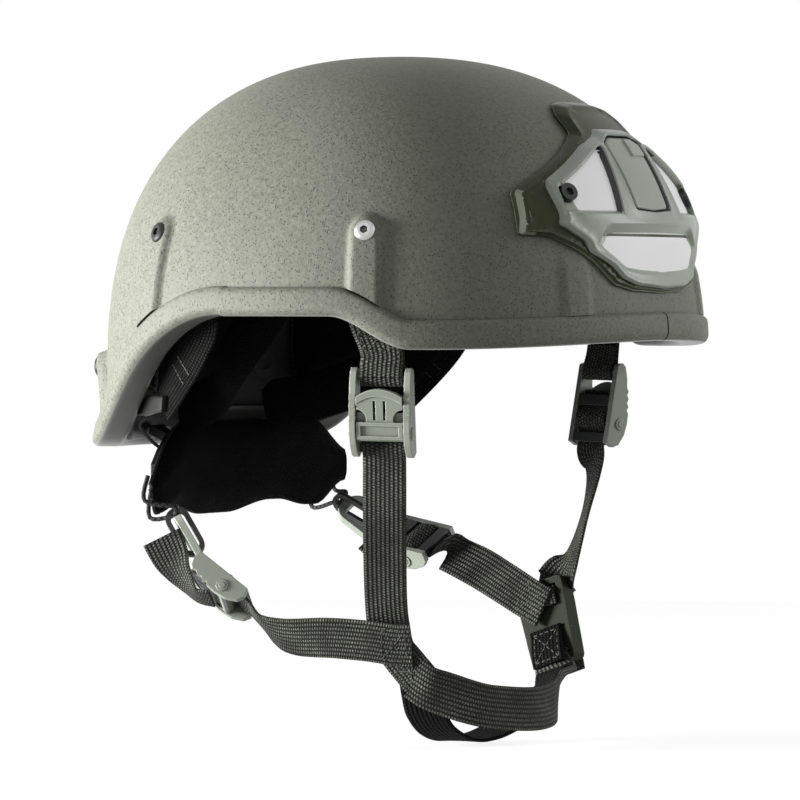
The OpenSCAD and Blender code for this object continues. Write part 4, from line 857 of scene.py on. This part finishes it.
def insert_top(p, edge):
    """The insert's face: dished, with raised lips round its windows and a tray below them."""
    z = p[:, 1]
    e = inside(p, edge)
    d = face_top(z) - 1.5 * (1 - ramp(-0.2, 1.2, e)) - 0.45 * ramp(1.9, 2.6, e)
    d = mix(d, tray_top(z), drop(p, TRAY, 2.4))
    for loop in WINDOWS + [PLATE]:
        lip = inside(p, loop)
        d = d + 0.45 * ramp(-2.2, -1.6, lip) * (1 - ramp(-0.4, 0, lip))
        d = mix(d, FLOOR_D - 0.4, drop(p, loop, 0.9))
    for loop in SCREW_BOXES:
        d = mix(d, UPPER_D + 0.5, drop(p, loop, 0.9))
    return d


def insert_part(p):
    """Material of each face: 1 on the pale floors; 2, painted shade, in the bay under the plate and on the
    windows' walls nearest the middle.
    """
    pale = inside(p, even(worn(TRAY_FLOOR), LEVEL_STEP)) > 0
    dark = inside(p, even(worn(PLATE), LEVEL_STEP)) > 0
    for loop in WINDOWS:
        near = inside(p, even(worn(loop), LEVEL_STEP))
        pale |= near > 0.8
        dark |= (near > 0) & (near <= 0.8) & (np.abs(p[:, 0]) < 26)
    return np.where(dark, 2, np.where(pale, 1, 0))


def base_rise(p, edge):
    """The base's face, rounded at its rim where the insert leaves it bare."""
    e = inside(p, edge)
    bare = ramp(0.6, 1.4, -inside(p, INSERT))
    ridge = 0.4 * bare * ramp(0.9, 1.3, e) * (1 - ramp(2.0, 2.6, e))
    return base_top(p[:, 1]) - (0.6 + 0.9 * bare) * (1 - ramp(-0.1, 1.3, e)) + ridge


def base_part(p):
    """Material of each face: 1, a painted highlight, on the rim of the side lugs."""
    rim_near = inside(p, even(worn(BASE), EDGE_STEP)) < LUG_RIM
    return np.where(rim_near & (np.abs(p[:, 0]) > LUG_SIDE), 1, 0)


def plate_top(p, edge):
    rounded = 0.5 * (1 - ramp(-0.1, 0.7, inside(p, edge)))
    return FLOOR_D + 1.7 - rounded + 0.9 * ramp(-0.4, 0.4, inside(p, TAB))


relief("shroud_arms", BASE, [], base_rise, lambda p: SHROUD_GAP + GASKET_T + 0 * p[:, 1], [OLIVE, LUG_HIGHLIGHT],
       base_part, "shroud_base")
# The insert's bay under the plate and its windows' walls nearest the middle take the dark plastic as painted
# shade
relief("shroud_frame", INSERT, WINDOWS + SCREW_BOXES + [TRAY, TRAY_FLOOR, PLATE], insert_top,
       lambda p: base_top(p[:, 1]) - 1.0, [PALE, FLOORS, DARK_PLASTIC_AND_SHADE], insert_part, "shroud_insert")
relief("shroud_centre", [(s * 0.86 - 0.5, 71.5 + (z - 71.5) * 0.955) for s, z in PLATE], [TAB], plate_top,
       lambda p: FLOOR_D - 0.3 + 0 * p[:, 1], [PALE], lambda p: np.zeros(len(p), int), "shroud_plate")


# Pads
BIND_D = 1.5


def crown(u, power):
    """0 at both ends of a unit span, 1 over its middle."""
    return 1 - np.abs(2 * u - 1) ** power


PUFF_FRAMES = 14


def puff(piece, pinned, cap):
    """Lets the cover swell and wrinkle a little as cloth, then keeps the result."""
    before = np.zeros(len(piece.data.vertices) * 3)
    piece.data.vertices.foreach_get("co", before)
    group = piece.vertex_groups.new(name="pinned")
    group.add([int(i) for i in pinned], 1.0, "REPLACE")
    cloth = piece.modifiers.new("cloth", "CLOTH")
    for key, value in (("quality", 4), ("mass", 0.2), ("use_pressure", True), ("uniform_pressure_force", 4),
                       ("vertex_group_mass", "pinned")):
        setattr(cloth.settings, key, value)
    cloth.settings.effector_weights.gravity = 0
    cloth.point_cache.frame_start, cloth.point_cache.frame_end = 1, PUFF_FRAMES
    for f in range(1, PUFF_FRAMES + 1):
        scene.frame_set(f)
    shaped = piece.evaluated_get(bpy.context.evaluated_depsgraph_get())
    after = np.zeros_like(before)
    shaped.data.vertices.foreach_get("co", after)
    move = (after - before).reshape(-1, 3)
    far = np.linalg.norm(move, axis=1, keepdims=True)
    move *= np.minimum(1, cap * MM / np.maximum(far, 1e-9))
    piece.modifiers.remove(cloth)
    piece.vertex_groups.remove(group)
    scene.frame_set(1)
    piece.data.vertices.foreach_set("co", before + move.ravel())
    piece.data.update()


def cushion(name, place, across, along, node, edge_t, nu=34, nv=28, cap=1.5):
    """Closed crowned cover from place(u, v, depth), with bound edges. depth 0 is its back, 1 its face."""
    us, vs = np.linspace(0, 1, nu), np.linspace(0, 1, nv)
    spots = [(u, v, depth) for depth in (1, 0) for u in us for v in vs]
    points, uv = [place(*spot) for spot in spots], [(u * across, v * along) for u, v, _ in spots]
    faces = []
    size = nu * nv
    for i in range(nu - 1):
        for j in range(nv - 1):
            a = i * nv + j
            faces.append((a, a + 1, a + nv + 1, a + nv))
            faces.append((a + nv + size, a + nv + 1 + size, a + 1 + size, a + size))
    border = ([(0, j) for j in range(nv - 1)] + [(i, nv - 1) for i in range(nu - 1)]
              + [(nu - 1, j) for j in range(nv - 1, 0, -1)] + [(i, 0) for i in range(nu - 1, 0, -1)])
    loop = [i * nv + j for i, j in border]
    for q, a in enumerate(loop):
        b = loop[(q + 1) % len(loop)]
        faces.append((b, a, a + size, b + size))
    piece = make(name, points, faces, KNIT, "helmet", [node], uv, sharp=60)
    puff(piece, range(size, 2 * size), cap)
    hem = [place(us[i], vs[j], edge_t) for i, j in border]
    tube(name + "_binding", hem, BIND_D, "helmet", None, BINDING, 8, 1, closed=True)


def shell_pad(name, a0, a1, low0, low1, high, node, left=False):
    """Cushion on the shell's inside between two angles; its lower edge runs from low0 to low1."""
    am = (a0 + a1) / 2
    flip = -1 if left else 1

    def place(u, v, depth):
        corner = 1 - 0.14 * abs(2 * v - 1) ** 5
        a = am + (a1 - a0) * (u - 0.5) * corner
        z = mix(mix(low0, low1, u), high, v) + (-3 if v > 0.5 else 3) * (2 * u - 1) ** 4 * abs(2 * v - 1)
        swell = 0.3 + 0.68 * (crown(u, 5) * crown(v, 5)) ** 0.8
        p = skin(a, z, PAD_D - PAD_T * swell * depth)
        return p * (1, flip, 1)

    wide = math.radians(abs(a1 - a0)) * plan_r(am)
    cushion(name, place, wide, high - min(low0, low1), node, 0.55)


build_shell()
build_trim()
shell_pad("brow_cushion", -27, 27, 17, 17, 62, "front_pad")
shell_pad("rear_cushion", 161, 199, -24, -24, 44, "rear_pad")
for left, hand in HANDS:
    shell_pad("temple_cushion_" + hand, -53, -32, 18, 17, 64, "temple_pad_" + hand, left)
    shell_pad("side_cushion_" + hand, -108, -74, 27, 27, 74, "side_pad_" + hand, left)
    shell_pad("occipital_cushion_" + hand, -148, -124, -24, -4, 46, "occipital_pad_" + hand, left)


CROWN_PAD_R = 43


def crown_place(r_mm, q, low):
    x, y = r_mm * math.cos(q), r_mm * math.sin(q)
    k = r_mm / plan_r(math.degrees(q), PAD_D)
    z = WAIST_Z + (CROWN_Z - WAIST_Z + PAD_D) * (1 - k ** DOME_M) ** (1 / DOME_M)
    return (x, y, z - (PAD_T * (0.3 + 0.68 * (1 - (r_mm / CROWN_PAD_R) ** 5)) if low else 0))


def build_crown_cushion():
    radii = [2, 6, 10, 14, 18, 22, 26, 30, 34, 37, 39.5, 41.5, CROWN_PAD_R]
    n = 64
    turns = [2 * math.pi * j / n for j in range(n)]
    rings = [[crown_place(r, q, False) for q in turns] for r in radii]
    rings += [[crown_place(r, q, True) for q in turns] for r in radii[::-1]]
    points = [p for r in rings for p in r]
    piece = make("crown_cushion", points, ring_faces(len(rings), n), KNIT, "helmet", ["crown_pad"],
                 [(p[0], p[1]) for p in points], sharp=60)
    puff(piece, range(len(radii) * n), 1.5)
    hem = [np.array(crown_place(42.6, q, False)) - (0, 0, PAD_T * 0.2) for q in turns]
    tube("crown_cushion_binding", hem, BIND_D, "helmet", None, BINDING, 8, 1, closed=True)


build_crown_cushion()


NAPE_SPAN = 31


def nape_place(u, v, depth):
    a = 2 * NAPE_SPAN * u - NAPE_SPAN
    s = 1 - 0.6 * (abs(a) / NAPE_SPAN) ** 6
    z = mix(nape_low(a), nape_high(a), v)
    return nape(a, z, NAPE_R - NAPE_T * s * (0.3 + 0.7 * crown(v, 4)) * depth)


cushion("nape_cushion", nape_place, 162, 40, "nape_pad", 0.3, nu=70, nv=22, cap=1.0)

# Nape bands
NAPE_BAND = [
    ((-3, -81, 52), (0.97, 0.05, 0.25)), ((-5.5, -76, 36), (0.9, 0.05, 0.4)),
    ((-18, -73, 17), (-0.74, 0, 0.66)), ((-28.5, -72.5, 4), (-0.7, 0, 0.7)),
    ((-43, -69.5, -11.5), (-0.6, 0.08, 0.8)), ((-60, -51, -21.5), (-0.35, 0.15, 0.92)),
    ((-76, -39, -27.5), (-0.2, 0.2, 0.96))]
BAND_W, BAND_T, BAND_END, END_SCALE = 22, 5, 13, 0.62


def nape_band(left, hand):
    """Flat knit band from inside the shell's side down to the nape pad's top corner."""
    top = float(nape_high(BAND_END)) if left else float(nape_high(-BAND_END)) - 1.45
    stations = [(p, tuple(-c for c in s) if p[2] > 20 else s) for p, s in NAPE_BAND]
    last = nape(-BAND_END, top + 0.3 + BAND_W / 2 * END_SCALE, NAPE_R - NAPE_T / 3)
    stations.append((tuple(last), (-0.1, 0.2, 0.97)))
    route = Route(stations, 12)
    flip = (1, -1, 1) if left else (1, 1, 1)
    n = len(route.middle)
    points, uv = [], []
    sides = 28
    for i in range(n):
        end = mix(END_SCALE, 1, ramp(0, 5, min(i, n - 1 - i)))
        for j in range(sides):
            q = 2 * math.pi * j / sides
            lift = math.sin(q) * BAND_T / 2 * (0.72 + 0.28 * math.sin(q) ** 2) * end
            x = math.cos(q) * BAND_W / 2 * end
            points.append((route.middle[i] + route.side[i] * x + route.out[i] * lift) * flip)
            uv.append((x, route.far[i]))
    faces = ring_faces(n, sides)
    if left:
        faces = [f[::-1] for f in faces]
    name, node = "knit_band_" + hand, "nape_band_" + hand
    piece = make(name, points, faces, KNIT, "helmet", [node], uv, sharp=70)


for left, hand in HANDS:
    nape_band(left, hand)


# Yoke
def build_yoke():
    """Band with rounded edges round the inside of the rear rim."""
    cols, rows = 120, 7
    points = []
    angles = np.linspace(121, 239, cols)
    b = np.abs(angles - 180)
    low = -45 + 12 * ramp(30, 41, b) + 2 * ramp(50, 59, b)
    high = -31 + 7 * ramp(40, 52, b)
    for a, z0, z1 in zip(angles, low, high):
        rise = [mix(z0 + 0.5, z1 - 0.5, v) for v in np.linspace(0, 1, rows)]
        points += [skin(a, z, YOKE_D) for z in rise]
        points += [skin(a, z1, YOKE_D - 0.5), skin(a, z1, YOKE_D - YOKE_T + 0.5)]
        points += [skin(a, z, YOKE_D - YOKE_T) for z in rise[::-1]]
        points += [skin(a, z0, YOKE_D - YOKE_T + 0.5), skin(a, z0, YOKE_D - 0.5)]
    size = 2 * rows + 4
    make("yoke_band", points, ring_faces(cols, size), YOKE, "helmet", ["nape_yoke"], sharp=60)


build_yoke()


# Webbing
def pegs(m, spots, way=1):
    """Stations at a buckle, one for each (y, z) of its own frame. way -1 turns the width direction round."""
    return [(m.at(0, y, z), m.x * way) for y, z in spots]


flat = tangent(-ANCHOR_A, BOLT_Z)
ANCHOR = [
    (skin(-ANCHOR_A, BOLT_Z + 9, ANCHOR_D), flat), (skin(-ANCHOR_A, BOLT_Z - 8, ANCHOR_D), flat),
    (skin(-ANCHOR_A, 14, ANCHOR_D - 4), (0.93, 0.37, 0))]
ANCHOR += pegs(FRONT, ((-0.6, 27), (0.2, 20), (2, 15.6)), -1)
ANCHOR_RETURN = pegs(FRONT, ((2, 15.6), (0.4, 12.4), (-2.1, 12), (-3.4, 15), (-2.4, 22), (-2.4, 27)), -1)
HANGER = [(skin(a, z, d), tangent(a, z)) for a, z, d in (
    (-117, 55, ANCHOR_D), (-116.9, 38, ANCHOR_D), (-112.5, 26, ANCHOR_D - 2.2),
    (-109, 14, ANCHOR_D - 3.8), (-108.8, 5, HANGER_D), (-112, -5, HANGER_D), (-117.5, -16.5, HANGER_D),
    (-123.5, -28, HANGER_D))]


def flip_stations(stations, left):
    return [(mirrored(p), mirrored(s)) for p, s in stations] if left else stations


def cam_entry(m):
    return pegs(m, ((0.5, 6.6), (0.85, 1), (-2.7, -6.5), (1, -13.8), (0.8, -20)))


HALF_T = CHIN_T / 2
RIGHT_FRONT = cam_entry(FRONT) + [
    ((49, -86.5, -58.5), (-0.95, -0.31, 0)), ((45.1, -80.5, -75.8), (-0.95, -0.31, 0)),
    ((40.7, -73.5, -93.2), (-0.95, -0.31, 0)), ((36.7, -66.5, -110.8), (-0.95, -0.29, 0.05)),
    ((35.3, -62.3, -121.9), (-0.95, -0.27, -0.1)), ((37.6, -60.2, -132.1), (-0.885, 0.02, -0.45)),
    ((43.4, -58.7, -139.5), (-0.80, 0.05, -0.6)), ((50.1, -57.2, -147), (-0.75, 0.06, -0.655))]
LEFT_FRONT = flip_stations(cam_entry(FRONT), True) + [
    ((51.8, 84, -56), (-0.8, 0.58, 0)), ((52, 81.5, -66), (-0.68, 0.73, 0)),
    ((50, 78.5, -79.7), (-0.6, 0.79, 0)), ((45.6, 76.5, -96.3), (-0.7, 0.7, 0)),
    ((41, 76.2, -105), (-0.85, 0.4, 0)),
    (CHIN.at(1.2, HALF_T + 3.5, WEB_SLOT + 4), -CHIN.x)] + pegs(CHIN, (
        (HALF_T, WEB_SLOT), (-HALF_T, WEB_SLOT), (-HALF_T - 1.5, WEB_SLOT - 2.4),
        (-HALF_T - 1.3, WEB_SLOT - 8)), -1)
RIGHT_REAR = cam_entry(REAR_RIGHT) + [
    ((-24, -67.2, -125.5), (0.2, 0.6, -0.75)), ((-11.3, -69, -128.5), (0.05, 0.5, -0.85)),
    ((10.2, -70, -128), (0, 0.35, -0.93)), ((26.9, -67.6, -128.7), (0, 0.3, -0.95)),
    ((38.8, -64.8, -130.1), (0, 0.3, -0.95)), ((47.2, -63, -130.3), (0, 0.3, -0.95))]
LEFT_REAR = cam_entry(REAR_LEFT) + [
    ((-13.7, 69, -99.5), (-0.2, -0.5, -0.8)), ((0.2, 68.6, -105), (-0.22, -0.35, -0.9)),
    ((14.5, 66.6, -111.4), (-0.2, -0.2, -0.95)), ((27, 65.6, -117.5), (-0.2, -0.12, -0.95)),
    ((36.5, 64.5, -121.6), (-0.2, -0.1, -0.95))]
CHIN_FRONT = [
    ((47.2, -60.9, -144.4), (0.54, -0.03, 0.83)), ((53.3, -59.7, -148), (0.4, 0, 0.9)),
    ((59.5, -55, -150.9), (0.15, 0.05, 0.97)), ((66.2, -49, -154), (-0.02, 0.1, 0.98)),
    ((71.3, -41, -156.5), (-0.1, 0.1, 0.98)), ((74.7, -31, -158), (-0.1, 0.1, 0.98)),
    ((77.5, -19, -159.2), (-0.1, 0.1, 0.98)), ((77.7, -6, -159.7), (-0.1, 0.1, 0.98)),
    ((74.9, 8, -159.2), (-0.1, 0.1, 0.98)), ((69.5, 21, -157.6), (0, 0.1, 0.98)),
    ((62.5, 33, -155.2), (0.3, 0, 0.95)), ((55.5, 46, -152.5), (0.75, 0.1, 0.65)),
    ((48.5, 57, -151), (0.9, 0.2, 0.35))] + pegs(CHIN, (
        (-HALF_T - 1.8, PLUG_SLOT - 4), (-HALF_T, PLUG_SLOT), (HALF_T, PLUG_SLOT),
        (HALF_T + 1.5, PLUG_SLOT - 3),
        (HALF_T + 1.3, PLUG_SLOT - 9)))
UNDER = [
    ((46, -55, -143.5), (-0.85, -0.05, -0.5)), ((46.6, -53.2, -152), (-0.95, -0.2, -0.2)),
    ((47.5, -51, -160.5), (-0.97, -0.2, 0)), ((48.8, -44, -168), (-0.97, -0.2, 0)),
    ((52.1, -33, -172.4), (-0.97, -0.2, 0)), ((55, -18, -172.1), (-0.98, -0.1, 0)),
    ((55.7, 0, -168.7), (-0.98, 0, 0)), ((55, 18, -163.8), (-0.98, 0.1, 0)),
    ((49.5, 30, -161.8), (-0.97, 0.1, -0.1)),
    ((49, 38, -157.6), (-0.87, 0, -0.45)), ((50.4, 46.1, -151.7), (-0.8, -0.1, -0.6)),
    ((47.6, 55.8, -148.6), (-0.9, -0.2, -0.35))]
LAP = pegs(CHIN, ((-HALF_T - y, PLUG_SLOT + z) for y, z in ((4, -5), (2.9, 3), (1.3, 8), (1.1, 12))))
TWISTED_TAIL = [
    ((-63.6, -77.4, -103), (-0.68, 0.45, -0.6)), ((-67.7, -78.5, -95.5), (-0.72, -0.1, -0.6)),
    ((-72.4, -79.4, -86.5), (-0.7, -0.42, -0.58))]


def tail_stations(left):
    root = pegs(REAR_LEFT if left else REAR_RIGHT, ((8.5, -4), (11.6, 3)))
    return root + (pegs(REAR_LEFT, ((12, 12), (7, 21))) if left else TWISTED_TAIL)


for left, hand in HANDS:
    _, route = strap("anchor_web_" + hand, flip_stations(ANCHOR, left), node="front_anchor_" + hand)
    strap("anchor_loop_" + hand, flip_stations(ANCHOR_RETURN, left), t=1.4)
    end = route.far[-1]
    stitch_both("anchor_stitch_" + hand, route, box_stitch(end - 22, end - 12))
    _, route = strap("hanger_web_" + hand, flip_stations(HANGER, left), node="rear_hanger_" + hand,
                     material=BLACK_WEB)
    end = route.far[-1]
    bars = [(-6.5, end - k, 6.5, end - k) for k in (24, 18.5)]
    stitch_both("hanger_stitch_" + hand, route, bars, gap=0.2)
    strap("tail_web_" + hand, tail_stations(left), "rear_lever_" + hand, "strap_tail_" + hand, w=WEB_W - 1)
    _, route = strap("rear_web_" + hand, LEFT_REAR if left else RIGHT_REAR, node="rear_strap_" + hand)
    end = route.far[-1]
    stitch_both("rear_stitch_" + hand, route, box_stitch(end - 13, end - 2))
    _, route = strap("front_web_" + hand, LEFT_FRONT if left else RIGHT_FRONT, node="front_strap_" + hand)
    if not left:
        end = route.far[-1]
        stitch_both("front_stitch", route, box_stitch(end - 13, end - 2))

chin_web, _ = strap("chin_web", CHIN_FRONT, None, "chin_strap")
under_web, _ = strap("under_chin_web", UNDER, None, "under_chin_strap", material=BLACK_WEB)
_, route = strap("chin_patch", LAP, "plug", "chin_lap", w=WEB_W - 1, material=BLACK_WEB)
stitches("chin_patch_stitch", route, box_stitch(2, route.far[-1] - 2, 6.6), "plug", -FACE)
PLUG_END = tuple(c * MM for c in CHIN.at(0, -HALF_T, PLUG_SLOT + 2))
for piece, begin in ((chin_web, (0.0625, 0.033, -0.155)), (under_web, (0.0495, 0.030, -0.162))):
    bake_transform(piece)
    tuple(begin)


# Cords
DIAL_X, DIAL_Z = NAPE_X - (NAPE_R + 0.3 + PLATE_T), -57
EYE_L, EYE_Z, EYE_BAR, EYE_BEND = 27, 8.4, 4.6, math.radians(20)
LINK_L, LINK_HANG, LINK_BAR = 25, 5.5, 2.3
LACE_D, LINK_CORD_D = 1.6, 2


def lace(left, hand):
    """From the dial's housing over the nape plate and up to the hanger."""
    out_r = NAPE_R + 0.3 + PLATE_T + 1.2
    route = [
        (DIAL_X - 1.8, -14, DIAL_Z), nape(-7, -55, out_r), nape(-12, -52, out_r), nape(-17, -48, out_r),
        nape(-20.5, -45, out_r + 0.4), skin(-141, -38, HANGER_D - 0.6), skin(-134, -33, HANGER_D),
        skin(-129.5, -27, HANGER_D), skin(-128.4, -18, HANGER_D), skin(-128.4, -8, HANGER_D)]
    tube("lace_cord_" + hand, mirrored(route) if left else route, LACE_D, "helmet", "lace_" + hand)


def link_cord(left, hand):
    """From the nape pad's corner through the oval link and back."""
    h, m = (1, REAR_LEFT) if left else (-1, REAR_RIGHT)
    d = LINK_CORD_D
    reach = EYE_L - EYE_BAR / 2
    arc = m.at(0, -0.4 - reach * math.sin(EYE_BEND), EYE_Z + reach * math.cos(EYE_BEND))
    up_link = unit(m.at(0, -math.sin(EYE_BEND), math.cos(EYE_BEND)) - m.place)
    hold = arc + up_link * (LINK_L / 2 - LINK_BAR - d / 2 - 0.2 - LINK_HANG)
    x = m.x * h
    out_r = NAPE_R + d / 2 + 0.3
    route = [
        nape(28.5 * h, -60, out_r), nape(29.6 * h, -71, out_r + 1), hold + x * 5 + (0, 0, 2.2), hold + x * 2,
        hold - x * 2, hold - x * 5 + (0, 0, 2.2), nape(25 * h, -79, out_r + 0.6), nape(24.6 * h, -65, out_r)]
    tube("hang_cord_" + hand, route, d, "helmet", "link_cord_" + hand)


for left, hand in HANDS:
    lace(left, hand)
    link_cord(left, hand)

# Finish of the nodes that stay
FRONT_LEFT = Aim((50, 89, -30), (0.07, 0.17, 0.98), (0.309, 0.951, 0))
FINISH = [
    (STEEL, "front_side_bolts yoke_rivets"), (RUBBER, "shroud_gasket"),
    (BLACK_METAL, "rear_side_bolts rear_bolts bolt_nuts shroud_screws"),
    (DARK_PLASTIC_AND_SHADE, "nape_plate dial_housing fit_dial nape_link_right nape_link_left"),
    (LEVER, "front_lever_right front_lever_left rear_lever_right rear_lever_left"),
    (CHIN_PLASTIC, "chin_socket chin_plug chin_button")]
for name, hand, aim in (("front_buckle_", "right", FRONT), ("front_buckle_", "left", FRONT_LEFT),
                        ("rear_buckle_", "right", REAR_RIGHT), ("rear_buckle_", "left", REAR_LEFT)):
    FINISH.append((buckle(name + hand[0], aim), name + hand))
for material, nodes in FINISH:
    for node in nodes.split():
        for material_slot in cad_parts[node].material_slots:
            material_slot.material = material
